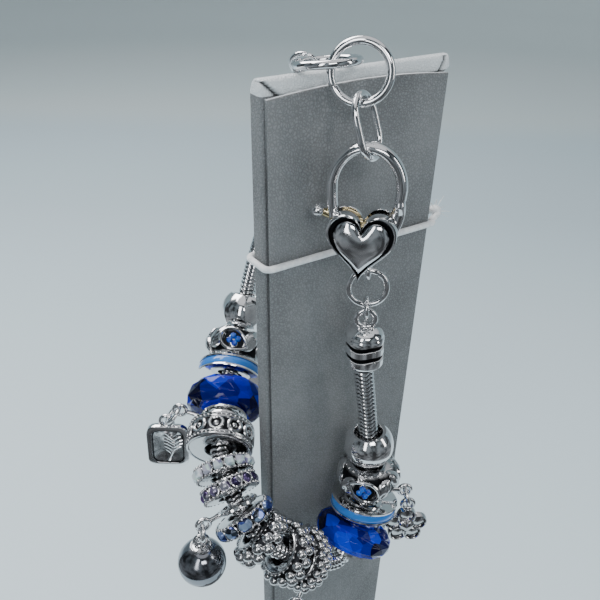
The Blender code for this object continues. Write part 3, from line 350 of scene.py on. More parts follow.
def grain_group() -> bpy.types.NodeTree:
    """Make the group for pebbled leatherette: tone, roughness and normal."""
    tree = node_group("leatherette_grain", "ShaderNodeTree", [
        ("Pebble Scale", "INPUT", "NodeSocketFloat", 1500.0),
        ("Depth", "INPUT", "NodeSocketFloat", 0.5),
        ("Tone", "OUTPUT", "NodeSocketFloat", None),
        ("Roughness", "OUTPUT", "NodeSocketFloat", None),
        ("Normal", "OUTPUT", "NodeSocketVector", None)])
    start, end = add_node(tree, "NodeGroupInput"), add_node(tree, "NodeGroupOutput")
    where = object_place(tree)
    warp = add_node(tree, "ShaderNodeTexNoise", {"Vector": where, "Scale": 700.0})
    shift = add_node(tree, "ShaderNodeVectorMath", {
        0: warp.outputs["Color"], 1: (0.7 * MM, 0.7 * MM, 0.7 * MM), 2: where}, operation="MULTIPLY_ADD")
    cells = add_node(tree, "ShaderNodeTexVoronoi", {
        "Vector": shift.outputs[0], "Scale": start.outputs["Pebble Scale"]}, feature="DISTANCE_TO_EDGE")
    pebble = map_range(tree, cells.outputs["Distance"], high=0.28, smooth=True)
    broad = cloud_at(tree, where, 90.0, 4.0)
    height = add_math(tree, "ADD", pebble, add_math(tree, "MULTIPLY", broad, 1.4))
    feed(end, {
        "Tone": add_math(tree, "ADD", add_math(tree, "MULTIPLY", pebble, 0.3),
                         add_math(tree, "MULTIPLY", broad, 0.9), clamp=True),
        "Roughness": add_math(tree, "SUBTRACT", 0.72, add_math(tree, "MULTIPLY", pebble, 0.22)),
        "Normal": relief_normal(tree, height, 0.12 * MM, start.outputs["Depth"])})
    return tree


SMUDGE = smudge_group()
GRAIN = grain_group()


@dataclass(frozen=True)
class Finish:
    """A surface finish with its constant settings; subclasses wire what varies."""

    name: str
    colour: tuple[float, float, float] = (0.8, 0.8, 0.8)
    roughness: float = 0.5
    metallic: float = 0.0
    settings: tuple[tuple[str, float], ...] = ()

    def make(self) -> bpy.types.Material:
        """Return the finish's material, made once."""
        known = bpy.data.materials.get(self.name)
        if known:
            return known
        made = bpy.data.materials.new(self.name)
        made.use_nodes = True
        shader = made.node_tree.nodes["Principled BSDF"]
        feed(shader, {"Base Color": rgba(self.colour), "Roughness": self.roughness,
                      "Metallic": self.metallic, **dict(self.settings)})
        self.dress(made.node_tree, shader)
        return made

    def dress(self, tree: bpy.types.NodeTree, shader: bpy.types.Node) -> None:
        """Wire the values that vary over the surface."""


@dataclass(frozen=True)
class Metal(Finish):
    """Polished metal, darkened in the recesses that the mesh marks: oxide patina in its hollows, and painted
    shade between the chain's scales and on its core.
    """

    metallic: float = 1.0
    dark: tuple[float, float, float] = (0.02, 0.021, 0.024)
    low: float = 0.04
    high: float = 0.13

    def dress(self, tree: bpy.types.NodeTree, shader: bpy.types.Node) -> None:
        """Wire the smudges, the scratches and the darkened recesses, which hold patina and painted shade.

        Args:
            tree: The material's tree.
            shader: Its surface shader.
        """
        gloss = add_node(tree, "ShaderNodeGroup", {"Low Roughness": self.low, "High Roughness": self.high},
                         node_tree=SMUDGE)
        mark = add_node(tree, "ShaderNodeAttribute", attribute_name="recess")
        cloud = cloud_at(tree, object_place(tree), 1400.0, 4.0)
        uneven = add_math(tree, "MULTIPLY", add_math(tree, "SUBTRACT", cloud, 0.5), 0.5)
        # Marked darkness: oxide patina in hollows, and painted shade between the chain's scales and on its core.
        soft = map_range(tree, add_math(tree, "ADD", mark.outputs["Fac"], uneven), 0.3, 0.7, smooth=True)
        bright = mix(tree, rgba(self.colour), gloss.outputs["Shade"], blend="MULTIPLY")
        feed(shader, {
            "Base Color": mix(tree, bright, rgba(self.dark), soft),
            "Roughness": add_math(tree, "ADD", gloss.outputs["Roughness"],
                                  add_math(tree, "MULTIPLY", soft, 0.25)),
            "Normal": gloss.outputs["Normal"]})


@dataclass(frozen=True)
class Leatherette(Finish):
    """Pebbled leatherette with soft changes of tone, and painted shade in the folds and seams that the mesh
    marks.
    """

    light: tuple[float, float, float] = (0.5, 0.5, 0.51)
    # Near-black colour of the painted shade in folds and seams.
    painted_fold_shade: tuple[float, float, float] = (0.012, 0.012, 0.013)
    scale: float = 1500.0
    depth: float = 0.55

    def dress(self, tree: bpy.types.NodeTree, shader: bpy.types.Node) -> None:
        """Wire the grain's tone, roughness and relief.

        Args:
            tree: The material's tree.
            shader: Its surface shader.
        """
        grain = add_node(tree, "ShaderNodeGroup", {"Pebble Scale": self.scale, "Depth": self.depth},
                         node_tree=GRAIN)
        mark = add_node(tree, "ShaderNodeAttribute", attribute_name="recess")
        tone = ramp(tree, grain.outputs["Tone"], [(0.25, self.colour), (0.8, self.light)])
        # Painted shade: the marked folds and seams are mixed towards the near-black fold colour.
        feed(shader, {"Base Color": mix(tree, tone, rgba(self.painted_fold_shade), mark.outputs["Fac"]),
                      "Roughness": grain.outputs["Roughness"], "Normal": grain.outputs["Normal"]})


@dataclass(frozen=True)
class Cloudy(Finish):
    """Glass, enamel, fibre or paint whose tone drifts and whose face has a fine relief."""

    other: tuple[float, float, float] = (0.7, 0.7, 0.7)
    scale: float = 500.0
    relief: float = 0.1
    relief_scale: float = 2500.0
    band: tuple[float, float] = (0.35, 0.65)

    def dress(self, tree: bpy.types.NodeTree, shader: bpy.types.Node) -> None:
        """Wire the drift of tone and the relief."""
        where = object_place(tree)
        tones = list(zip(self.band, (self.colour, self.other)))
        feed(shader, {
            "Base Color": ramp(tree, cloud_at(tree, where, self.scale, 4.0), tones),
            "Normal": relief_normal(tree, cloud_at(tree, where, self.relief_scale, 3.0), 0.08 * MM, self.relief)})


@dataclass(frozen=True)
class Iridescent(Finish):
    """Coated crystal whose facets differ in hue from one to the next; on the cobalt glass the same patches are
    painted light and shade of its facets.
    """

    hues: tuple[tuple[float, float, float], ...] = ()
    cell: float = 900.0

    def dress(self, tree: bpy.types.NodeTree, shader: bpy.types.Node) -> None:
        """Wire the patches of hue."""
        cells = add_node(tree, "ShaderNodeTexVoronoi", {"Vector": object_place(tree), "Scale": self.cell})
        pick = add_node(tree, "ShaderNodeSeparateColor", {0: cells.outputs["Color"]})
        stops = [(0.1 + 0.8 * i / (len(self.hues) - 1), hue) for i, hue in enumerate(self.hues)]
        feed(shader, {"Base Color": ramp(tree, pick.outputs[0], stops)})


@dataclass(frozen=True)
class PaleSweep(Finish):
    """Pale table, painted brighter near the stand as painted light, whose far side falls softly to a greyer tone
    painted as the shade of the wall.
    """

    # Painted light: the brighter tone of the table near the stand. Painted shade: the greyer tone of the wall.
    near: tuple[float, float, float] = (0.66, 0.78, 0.83)
    painted_wall_shade: tuple[float, float, float] = (0.55, 0.63, 0.645)
    heading: float = 35.4
    edge: tuple[float, float] = (0.43, 0.5)

    def dress(self, tree: bpy.types.NodeTree, shader: bpy.types.Node) -> None:
        """Wire the painted light near the stand and the soft far edge into the painted shade of the wall.

        Args:
            tree: The material's tree.
            shader: Its surface shader.
        """
        angle = math.radians(self.heading)
        far = add_node(tree, "ShaderNodeVectorMath", {
            0: object_place(tree), 1: (math.sin(angle), math.cos(angle), 0.0)},
            operation="DOT_PRODUCT").outputs["Value"]
        # Painted light: the table is brighter up to 0.02 m behind the stand and dims to its plain colour by 0.3
        # m.
        table = ramp(tree, map_range(tree, far, 0.02, 0.3), [(0.0, self.near), (1.0, self.colour)])
        # Painted shade: from 0.43 m to 0.5 m behind the stand the table turns to the greyer tone of the shaded
        # wall.
        fade = map_range(tree, far, *self.edge, smooth=True)
        feed(shader, {"Base Color": mix(tree, table, rgba(self.painted_wall_shade), fade)})


SILVER = Metal("polished_silver", (0.93, 0.93, 0.94))
AGED = Metal("darkened_silver", (0.66, 0.66, 0.67), low=0.08, high=0.2)
DARK_BALL = Metal("darkened_ball", (0.3, 0.31, 0.34), low=0.08, high=0.22)
BRASS = Metal("brass_spring", (0.72, 0.6, 0.34), low=0.12, high=0.25)
LEATHER = Leatherette("grey_leatherette", (0.12, 0.122, 0.124), light=(0.235, 0.24, 0.243), scale=2400.0,
                      depth=0.6)
# Painted light: the roll is the same wrapping as the board, given a far paler colour because its top faces the
# lamps.
ROLL_PAINTED_LIGHT = Leatherette("roll_leatherette_painted_light", (0.6, 0.63, 0.64), light=(0.74, 0.77, 0.78), scale=2300.0, depth=0.5)
RAW_EDGE = Cloudy("raw_backing", (0.82, 0.84, 0.85), 0.9, other=(0.66, 0.68, 0.7), relief=0.8)
ENAMEL = Cloudy("sky_enamel", (0.015, 0.13, 0.5), 0.12, other=(0.035, 0.2, 0.6), scale=260.0, relief=0.04,
                settings=(("Coat Weight", 0.6), ("Coat Roughness", 0.05)))
BLUE_STONE = Cloudy("blue_crystal", (0.0, 0.02, 0.4), 0.03, other=(0.01, 0.22, 0.95), scale=1500.0,
                    relief=0.0, settings=(("Transmission Weight", 0.3), ("IOR", 1.6), ("Coat Weight", 1.0)))
# Painted light and shade: patches from near-black to bright blue stand in for the glass facets catching and
# losing the light.
COBALT_GLASS_PAINTED_FACETS = Iridescent("cobalt_glass_painted_facets", roughness=0.02, cell=430.0,
                   settings=(("Transmission Weight", 0.15), ("IOR", 1.45), ("Specular IOR Level", 0.4)),
                   hues=((0.0, 0.0, 0.02), (0.0, 0.001, 0.2), (0.0, 0.04, 0.8), (0.0, 0.0, 0.07),
                         (0.0, 0.004, 0.5)))
DARK_STONE = Iridescent("dark_crystal", roughness=0.04, metallic=0.55,
                        hues=((0.01, 0.015, 0.05), (0.05, 0.08, 0.3), (0.3, 0.4, 0.55), (0.015, 0.02, 0.03)))
PURPLE_STONE = Iridescent("violet_cabochon", roughness=0.06, metallic=0.7,
                          hues=((0.04, 0.03, 0.08), (0.16, 0.1, 0.26), (0.4, 0.4, 0.45), (0.02, 0.02, 0.05)))
PALE_STONE = Iridescent("pale_crystal", roughness=0.04, metallic=0.35,
                        hues=((0.5, 0.6, 0.66), (0.85, 0.86, 0.88), (0.25, 0.22, 0.4), (0.6, 0.75, 0.7)))
CORD = Cloudy("white_elastic", (0.9, 0.9, 0.89), 0.85, other=(0.74, 0.75, 0.76), scale=1800.0, relief=0.7,
              relief_scale=5000.0, settings=(("Sheen Weight", 0.4),))
STONE_FINISH = {Stone.CRYSTAL: DARK_STONE, Stone.CABOCHON: PURPLE_STONE, Stone.SQUARE: PALE_STONE}


# ---- Mesh making ------------------------------------------------------------


def polar(radius: float, angle: float, height: float = 0.0) -> Vector:
    """Return the point at a radius, an angle about z and a height."""
    return Vector((radius * math.cos(angle), radius * math.sin(angle), height))


def circle(radius: float, count: int, height: float = 0.0, shift: float = 0.0) -> list[Vector]:
    """Return a level circle of points, turned by a share of a step."""
    return [polar(radius, math.tau * (i + shift) / count, height) for i in range(count)]


def slide(x: float, y: float, z: float) -> Matrix:
    """Return the matrix of a move."""
    return Matrix.Translation((x, y, z))


def rounded_loop(half_x: float, half_y: float, corner: float, height: float, per_corner: int = 6,
                 per_side: int = 1) -> list[Vector]:
    """Return a rectangle with round corners.

    Args:
        half_x: Half of its width.
        half_y: Half of its depth.
        corner: Radius of its corners.
        height: Its height.
        per_corner: Spans in each corner.
        per_side: Spans in each side.

    Returns:
        Its points.
    """
    points: list[Vector] = []
    for turn, (sx, sy) in enumerate(((1, 1), (-1, 1), (-1, -1), (1, -1))):
        arc = []
        for i in range(per_corner + 1):
            angle = math.pi / 2 * (turn + i / per_corner)
            arc.append(Vector((sx * (half_x - corner) + corner * math.cos(angle),
                               sy * (half_y - corner) + corner * math.sin(angle), height)))
        if points:
            last = points[-1]
            points += [last.lerp(arc[0], i / per_side) for i in range(1, per_side)]
        points += arc
    last = points[-1]
    return points + [last.lerp(points[0], i / per_side) for i in range(1, per_side)]


@dataclass
class Form:
    """Closed shells gathered into one mesh, with a recess value on each point that darkens it, for patina in
    hollows and for painted shade.
    """

    points: list[Vector] = field(default_factory=list)
    recess: list[float] = field(default_factory=list)
    faces: list[tuple[int, ...]] = field(default_factory=list)
    finish: list[int] = field(default_factory=list)

    def shell(self, rows: list[list[Vector]], recess: list[float] | float = 0.0, finish: int = 0,
              looped: bool = False, matrix: Matrix | None = None) -> "Form":
        """Add a closed shell through loops of points.

        Args:
            rows: Loops with the same number of points.
            recess: One darkness for all rows, or one for each.
            finish: Index of the finish.
            looped: True if the last loop joins the first, as in a ring.
            matrix: Frame that the points are given in.

        Returns:
            This form.
        """
        base, wide = len(self.points), len(rows[0])
        dark = recess if isinstance(recess, list) else [recess] * len(rows)
        for row, value in zip(rows, dark):
            self.points += [matrix @ point if matrix else point.copy() for point in row]
            self.recess += [value] * wide
        spans = len(rows) if looped else len(rows) - 1
        for k in range(spans):
            low, high = base + k * wide, base + (k + 1) % len(rows) * wide
            for i in range(wide):
                j = (i + 1) % wide
                self.faces.append((low + i, low + j, high + j, high + i))
                self.finish.append(finish)
        if not looped:
            for k in (0, len(rows) - 1):
                rim = range(base + k * wide, base + (k + 1) * wide)
                self.points.append(sum((self.points[i] for i in rim), Vector()) / wide)
                self.recess.append(dark[k])
                middle = len(self.points) - 1
                for i in range(wide):
                    self.faces.append((rim[i], rim[(i + 1) % wide], middle))
                    self.finish.append(finish)
        return self

    def lathe(self, profile: list[tuple[float, ...]], sides: int = 48, matrix: Matrix | None = None,
              finish: int = 0, looped: bool = True) -> "Form":
        """Turn a profile about z.

        Args:
            profile: Radius, height and, where it isn't 0, darkness of each point.
            sides: Points round the form.
            matrix: Frame that the profile is given in.
            finish: Index of the finish.
            looped: True if the last point joins the first.

        Returns:
            This form.
        """
        rows = [circle(point[0], sides, point[1]) for point in profile]
        dark = [point[2] if len(point) > 2 else 0.0 for point in profile]
        return self.shell(rows, dark, finish, looped, matrix)

    def wire(self, path: list[Vector], radius: float | list[float], sides: int = 12, cyclic: bool = False,
             normal: Vector | None = None, depth: float | list[float] = 1.0, finish: int = 0,
             matrix: Matrix | None = None, recess: float = 0.0, lump: float = 0.0) -> "Form":
        """Sweep a round or oval section along a path.

        Args:
            path: The centre line.
            radius: Half-width in the path's plane, one or one for each point.
            sides: Points round the section.
            cyclic: True for a closed path.
            normal: Normal of a flat path, or None.
            depth: Half-depth along the normal as a share of the radius, one or one for each point.
            finish: Index of the finish.
            matrix: Frame that the path is given in.
            recess: Darkness of the wire.
            lump: Unevenness of the radius as a share.

        Returns:
            This form.
        """
        count = len(path)
        radii = radius if isinstance(radius, list) else [radius] * count
        depths = depth if isinstance(depth, list) else [depth] * count
        rows = []
        turned = None
        for i, point in enumerate(path):
            before = path[i - 1] if i or cyclic else point
            after = path[(i + 1) % count] if i < count - 1 or cyclic else point
            tangent = (after - before).normalized()
            if normal is not None:
                out = normal
            elif turned is None:
                out = tangent.orthogonal()
            else:
                out = turned - tangent * turned.dot(tangent)
            out = out.normalized()
            turned = out
            side = tangent.cross(out).normalized()
            uneven = 1.0 + lump * noise.noise(point * 2200.0)
            rows.append([point + side * (radii[i] * uneven * math.cos(math.tau * k / sides))
                         + out * (radii[i] * depths[i] * uneven * math.sin(math.tau * k / sides))
                         for k in range(sides)])
        return self.shell(rows, recess, finish, cyclic, matrix)

    def ball(self, matrix: Matrix, radius: float, segments: int = 16, finish: int = 0) -> "Form":
        """Add a ball.

        Args:
            matrix: Frame that places and squeezes it.
            radius: Its radius.
            segments: Points round it.
            finish: Index of the finish.

        Returns:
            This form.
        """
        rings = segments // 2
        rows = [circle(radius * math.sin(math.pi * i / rings), segments, radius * math.cos(math.pi * i / rings))
                for i in range(1, rings)]
        self.shell(rows, 0.0, finish, False, matrix)
        self.points[-2] = matrix @ Vector((0, 0, radius))
        self.points[-1] = matrix @ Vector((0, 0, -radius))
        return self

    def ring(self, radius: float, wire: float, home: Matrix, joint: float | None = None, sides: int = 14,
             around: int = 64, recess: float = 0.0) -> "Form":
        """Add a wire ring about z.

        Args:
            radius: Radius of its middle line.
            wire: Radius of the wire.
            home: Its frame.
            joint: Angle of its butt joint in degrees, or None for a soldered ring.
            sides: Points round the wire.
            around: Points round the ring.
            recess: Darkness of the wire.

        Returns:
            This form.
        """
        if joint is None:
            return self.wire(circle(radius, around), wire, sides, True, UP, matrix=home, recess=recess)
        gap = 0.07 * MM / radius
        first = math.radians(joint) + gap
        span = math.tau - 2 * gap
        path = [polar(radius, first + span * i / around, 0.04 * MM * math.sin(math.pi * i / around))
                for i in range(around + 1)]
        radii = [wire * (0.9 if i in (0, around) else 1.0) for i in range(around + 1)]
        return self.wire(path, radii, sides, False, UP, matrix=home, recess=recess)

    def stone(self, home: Matrix, radius: float, height: float, finish: int = 0,
              square: bool = False) -> "Form":
        """Add a cut stone with its table along z, a crown of facets and a pavilion below.

        Args:
            home: Its frame.
            radius: Its radius at the girdle.
            height: Its height.
            finish: Index of the finish.
            square: True for a square cut, False for a round one.

        Returns:
            This form.
        """
        steps = ((0.55, 0.5), (0.86, 0.3), (1.0, 0.05), (0.97, -0.1), (0.3, -0.5))
        if square:
            rows = [circle(radius * 1.3 * share, 4, rise * height, 0.5) for share, rise in steps]
        else:
            rows = [circle(radius * share, 16, rise * height, 0.5 * (k % 2))
                    for k, (share, rise) in enumerate(steps)]
        return self.shell(rows, 0.0, finish, False, home)

    def piece(self, name: str, finishes: list[Finish], nodes: list[str], body: str = ROOT,
              angle: float = 35.0) -> bpy.types.Object:
        """Turn the form into a piece that stands for CAD nodes.

        Args:
            name: The piece's name.
            finishes: Finishes in the order of their indices.
            nodes: The CAD nodes that it replaces.
            body: The body that it rides on.
            angle: Edges that turn by more than this many degrees stay sharp.

        Returns:
            The piece.
        """
        mesh = bpy.data.meshes.new(name)
        mesh.from_pydata(self.points, [], self.faces)
        for finish in finishes:
            mesh.materials.append(finish.make())
        mesh.polygons.foreach_set("material_index", self.finish)
        mark = mesh.attributes.new("recess", "FLOAT", "POINT")
        mark.data.foreach_set("value", self.recess)
        outwards(mesh)
        return settle(name, mesh, nodes, body, angle)


def outwards(mesh: bpy.types.Mesh) -> None:
    """Turn every closed shell of a mesh to face outwards."""
    work = bmesh.new()
    work.from_mesh(mesh)
    bmesh.ops.recalc_face_normals(work, faces=work.faces)
    work.to_mesh(mesh)
    work.free()


def settle(name: str, mesh: bpy.types.Mesh, nodes: list[str], body: str = ROOT,
           angle: float = 35.0) -> bpy.types.Object:
    """Link a mesh as a piece that rides on a body and stands for CAD nodes.

    Args:
        name: The piece's name.
        mesh: Its mesh.
        nodes: The CAD nodes that it replaces.
        body: The body that it rides on.
        angle: Edges that turn by more than this many degrees stay sharp.

    Returns:
        The piece.
    """
    made = bpy.data.objects.new(name, mesh)
    bpy.context.scene.collection.objects.link(made)
    mesh.shade_smooth()
    mesh.set_sharp_from_angle(angle=math.radians(angle))
    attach(made, body)
    if nodes:
        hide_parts(*nodes)
    LOG.info("%s: %d faces, for %s", name, len(mesh.polygons), ", ".join(nodes) or "detail")
    return made


def geometry_tree(name: str, inputs: list[tuple[str, str, object]]) -> tuple:
    """Make a geometry tree with named inputs.

    Args:
        name: The tree's name.
        inputs: Name, socket type and default of each input after the geometry.

    Returns:
        The tree, its input node and its output node.
    """
    sockets = [("Geometry", "INPUT", "NodeSocketGeometry", None)]
    sockets += [(label, "INPUT", kind, default) for label, kind, default in inputs]
    sockets.append(("Geometry", "OUTPUT", "NodeSocketGeometry", None))
    tree = node_group(name, "GeometryNodeTree", sockets)
    return tree, add_node(tree, "NodeGroupInput"), add_node(tree, "NodeGroupOutput")


def run_tree(name: str, source: bpy.types.ID, tree: bpy.types.NodeTree,
             values: dict[str, object]) -> bpy.types.Mesh:
    """Evaluate a geometry tree on a mesh or curve and return the plain mesh.

    Args:
        name: Name of the new mesh.
        source: The mesh or curve that the tree starts from.
        tree: The geometry tree.
        values: Values of its named inputs.

    Returns:
        The realized mesh.
    """
    holder = bpy.data.objects.new(name + "_source", source)
    bpy.context.scene.collection.objects.link(holder)
    step = holder.modifiers.new("grow", "NODES")
    step.node_group = tree
    for item in tree.interface.items_tree:
        if item.item_type == "SOCKET" and item.in_out == "INPUT" and item.name in values:
            step[item.identifier] = values[item.name]
    bpy.context.view_layer.update()
    graph = bpy.context.evaluated_depsgraph_get()
    mesh = bpy.data.meshes.new_from_object(holder.evaluated_get(graph), preserve_all_data_layers=True,
                                           depsgraph=graph)
    bpy.data.objects.remove(holder, do_unlink=True)
    mesh.name = name
    return mesh


def paint_all(tree: bpy.types.NodeTree, instances: bpy.types.NodeSocket, start: bpy.types.Node,
              end: bpy.types.Node) -> None:
    """End a tree: realize its instances and give them the finish.

    Args:
        tree: The geometry tree.
        instances: The instances.
        start: The tree's input node, with the input Finish.
        end: The tree's output node.
    """
    real = add_node(tree, "GeometryNodeRealizeInstances", {0: instances})
    paint = add_node(tree, "GeometryNodeSetMaterial", {
        "Geometry": real.outputs[0], "Material": start.outputs["Finish"]})
    feed(end, {"Geometry": paint.outputs[0]})


def granule_tree() -> bpy.types.NodeTree:
    """Make the tree that puts a round grain on every point of a mesh."""
    tree, start, end = geometry_tree("granulation", [
        ("Grain Radius", "NodeSocketFloat", 0.0005), ("Segments", "NodeSocketInt", 14),
        ("Squeeze", "NodeSocketFloat", 0.06), ("Finish", "NodeSocketMaterial", None)])
    grain = add_node(tree, "GeometryNodeMeshUVSphere", {
        "Radius": start.outputs["Grain Radius"], "Segments": start.outputs["Segments"], "Rings": 8})
    squeeze = start.outputs["Squeeze"]
    vary = add_node(tree, "FunctionNodeRandomValue", {
        "Seed": 11, 2: add_math(tree, "SUBTRACT", 1.0, squeeze), 3: add_math(tree, "ADD", 1.0, squeeze)},
        data_type="FLOAT")
    seats = add_node(tree, "GeometryNodeInstanceOnPoints", {
        "Points": start.outputs["Geometry"], "Instance": grain.outputs["Mesh"], "Scale": vary.outputs[1]})
    paint_all(tree, seats.outputs[0], start, end)
    return tree


def chain_tree() -> bpy.types.NodeTree:
    """Make the tree that lays rings of scales along a curve, each turned a little further."""
    tree, start, end = geometry_tree("snake_chain_scales", [
        ("Scale Ring", "NodeSocketObject", None), ("Pitch", "NodeSocketFloat", 0.0009),
        ("Turn", "NodeSocketFloat", 0.39), ("Finish", "NodeSocketMaterial", None)])
    seats = add_node(tree, "GeometryNodeCurveToPoints", {
        "Curve": start.outputs["Geometry"], "Length": start.outputs["Pitch"]}, mode="LENGTH")
    source = add_node(tree, "GeometryNodeObjectInfo", {"Object": start.outputs["Scale Ring"]})
    number = add_node(tree, "GeometryNodeInputIndex")
    turn = add_math(tree, "MULTIPLY", number.outputs[0], start.outputs["Turn"])
    angle = add_node(tree, "ShaderNodeCombineXYZ", {"Z": turn})
    spin = add_node(tree, "FunctionNodeRotateRotation", {0: seats.outputs["Rotation"], 1: angle.outputs[0]},
                    rotation_space="LOCAL")
    lay = add_node(tree, "GeometryNodeInstanceOnPoints", {
        "Points": seats.outputs["Points"], "Instance": source.outputs["Geometry"], "Rotation": spin.outputs[0]})
    paint_all(tree, lay.outputs[0], start, end)
    return tree


@dataclass
class Stand:
    """Base, wrapped board with its rolled top, front panel and elastic loop."""

    top_width: float = 28.8 * MM
    thickness: float = 3.6 * MM
    height: float = 140 * MM
    taper: float = 0.0245
    base_width: float = 54 * MM
    base_depth: float = 44 * MM
    base_thickness: float = 6 * MM
    base_edge: float = 1.2 * MM
    gap: float = 0.3 * MM
    roll_rise: float = 2.0 * MM
    panel_thickness: float = 0.7 * MM
    panel_inset: float = 0.35 * MM
    panel_arch: float = 0.8 * MM
    elastic_radius: float = 0.45 * MM
    elastic_drop: float = 21.2 * MM
    knot_reach: float = 2.6 * MM
    knot_hairs: int = 46

    def half_width(self, height: float) -> float:
        """Return half of the board's width at a height above its foot."""
        return self.top_width / 2 - self.taper * (self.height - height)

    def build(self) -> None:
        """Build the whole stand."""
        self.build_base()
        self.build_board()
        self.build_panel()
        self.build_elastic()

    def build_base(self) -> None:
        """Wrapped foot with soft edges."""
        rows = []
        steps = 6
        for top in (False, True):
            for i in range(steps + 1):
                angle = math.pi / 2 * (i / steps if top else 1 - i / steps)
                inset = self.base_edge * (1 - math.cos(angle))
                rise = self.base_edge * (1 - math.sin(angle))
                rows.append(rounded_loop(self.base_width / 2 - inset, self.base_depth / 2 - inset, 1.4 * MM,
                                         self.base_thickness - rise if top else rise, 6, 4))
        Form().shell(rows).piece("dressed_base", [LEATHER], ["stand_base"], angle=50)

    def build_board(self) -> None:
        """Wrapped board whose leatherette folds over a padded roll at the top; the roll is a much paler copy of
        the leatherette as painted light, and the corner folds carry painted shade.
        """
        half_depth = (self.thickness - self.panel_thickness - self.gap) / 2
        back_y = self.thickness / 2 - half_depth
        foot = self.base_thickness + self.gap
        levels = [(foot, 1.0, 0.0, 0.0)]
        for i in range(1, 13):
            levels.append((foot + (self.height - 4 * MM) * i / 12, 1.0, 0.0, 0.0))
        for i in range(1, 9):
            levels.append((TOP_Z - 4 * MM + 4 * MM * i / 9, 1.0, 0.0, 0.0))
        for i in range(15):
            angle = math.pi / 2 * i / 14.6
            share = math.sin(angle)
            levels.append((TOP_Z + self.roll_rise * share, max(0.1, math.cos(angle) ** 0.62),
                           -0.45 * MM * (1 - math.cos(angle)),
                           1.0 * MM * math.sin(min(1.0, share * 2.2) * math.pi * 0.62)))
        rows = []
        for height, deep, left, right in levels:
            half = self.half_width(min(self.height, height - foot))
            row = rounded_loop(half, half_depth * deep, 0.5 * MM * deep, height, 5, 90)
            for point in row:
                point.x += right if point.x > 0 else -left
                point.y += back_y
                self.crumple(point, half, half_depth)
            rows.append(row)
        form = Form().shell(rows)
        half = self.half_width(self.height)
        # Painted shade: points in the corner folds at the top are darkened towards the near-black fold colour.
        for i, point in enumerate(form.points):
            if point.z > TOP_Z - 0.5 * MM and point.y < 0.8 * MM:
                left, right = self.fold_lines(point, half)
                form.recess[i] = min(1.0, 1.3 * left + 1.1 * right)
        # Painted light: faces above the top take the paler roll leatherette.
        form.finish = [int(min(form.points[i].z for i in face) > TOP_Z + 0.1 * MM) for face in form.faces]
        form.piece("dressed_board", [LEATHER, ROLL_PAINTED_LIGHT], ["stand_board"], angle=60)

    def crumple(self, point: Vector, half: float, half_depth: float) -> None:
        """Press the corner folds and the soft wrinkles of the wrapping into a point.

        Args:
            point: The point, which is moved.
            half: Half of the board's width at its height.
            half_depth: Half of the board's depth; not used.
        """
        near_top = max(0.0, min(1.0, (point.z - (TOP_Z - 3.2 * MM)) / (2 * MM)))
        inward = Vector((0.0, -math.copysign(1.0, point.y - 0.5 * MM), 0.0))
        wrinkle = noise.noise(Vector((point.x * 260, point.y * 500, point.z * 420)))
        point += inward * (0.05 * MM * near_top * (0.5 + wrinkle))
        left, right = self.fold_lines(point, half)
        if point.y < 0.5 * MM:
            point.y += near_top * (0.45 * MM * left + 0.4 * MM * right)

    def fold_lines(self, point: Vector, half: float) -> tuple[float, float]:
        """Return how deep a point lies in each corner's fold.

        Args:
            point: The point.
            half: Half of the board's width.

        Returns:
            Depth in the left fold and in the right fold, 0 to 1.
        """
        drop = TOP_Z + self.roll_rise - point.z
        across = (point.x + half - 0.3 * MM) - drop * 1.05
        left = math.exp(-(across / (0.3 * MM)) ** 2) * (drop > 0.15 * MM)
        across = (half - point.x) - drop * 0.75 + 0.3 * MM
        right = math.exp(-(across / (0.2 * MM)) ** 2) * (drop > 0.1 * MM)
        return left, right

    def build_panel(self) -> None:
        """Front panel with its leather face, the raw edge of its backing and painted seam shade on its side
        edges.
        """
        foot = self.base_thickness + self.gap
        low, high = self.half_width(0) - self.panel_inset, self.half_width(self.height) - self.panel_inset
        outline = [Vector((-low + 2 * low * i / 8, 0, foot)) for i in range(9)]
        outline += [Vector((low + (high - low) * i / 14, 0, foot + self.height * i / 14))
                    for i in range(1, 14)]
        for i in range(41):
            x = high * (1 - i / 20)
            uneven = 0.05 * MM * noise.noise(Vector((x * 900, 0, 3.1)))
            rise = self.panel_arch * (1 - (x / high) ** 2) + uneven
            outline.append(Vector((x, 0, TOP_Z + max(0.0, rise))))
        outline += [Vector((-high - (low - high) * i / 14, 0, TOP_Z - self.height * i / 14))
                    for i in range(1, 14)]
        middle = foot + self.height / 2

        def loop(depth: float, inset: float) -> list[Vector]:
            """Return the outline behind the face.

            Args:
                depth: Distance behind the face.
                inset: Distance that the outline is drawn in.

            Returns:
                Its points.
            """
            row = []
            for point in outline:
                step = Vector((math.copysign(min(inset, abs(point.x)), -point.x), 0, 0))
                if abs(point.z - middle) > self.height * 0.49:
                    step.z = math.copysign(inset, middle - point.z)
                row.append(Vector((point.x, FRONT_Y + depth, point.z)) + step)
            return row

        form = Form()
        form.shell([loop(self.panel_thickness, 0.0), loop(0.3 * MM, 0.0)], finish=1)
        form.finish = [int(min(form.points[i].z for i in face) > TOP_Z - 0.1 * MM) for face in form.faces]
        # Painted shade: below the top, the panel's side and back faces are darkened towards the fold colour as
        # the shade in the seam beside the board.
        form.recess = [0.0 if point.z > TOP_Z - 0.1 * MM else 0.75 for point in form.points]
        form.shell([loop(0.3 * MM, 0.0), loop(0.12 * MM, 0.0), loop(0.03 * MM, 0.06 * MM), loop(0.0, 0.2 * MM)])
        form.piece("dressed_panel", [LEATHER, RAW_EDGE], ["stand_front_panel"], angle=50)

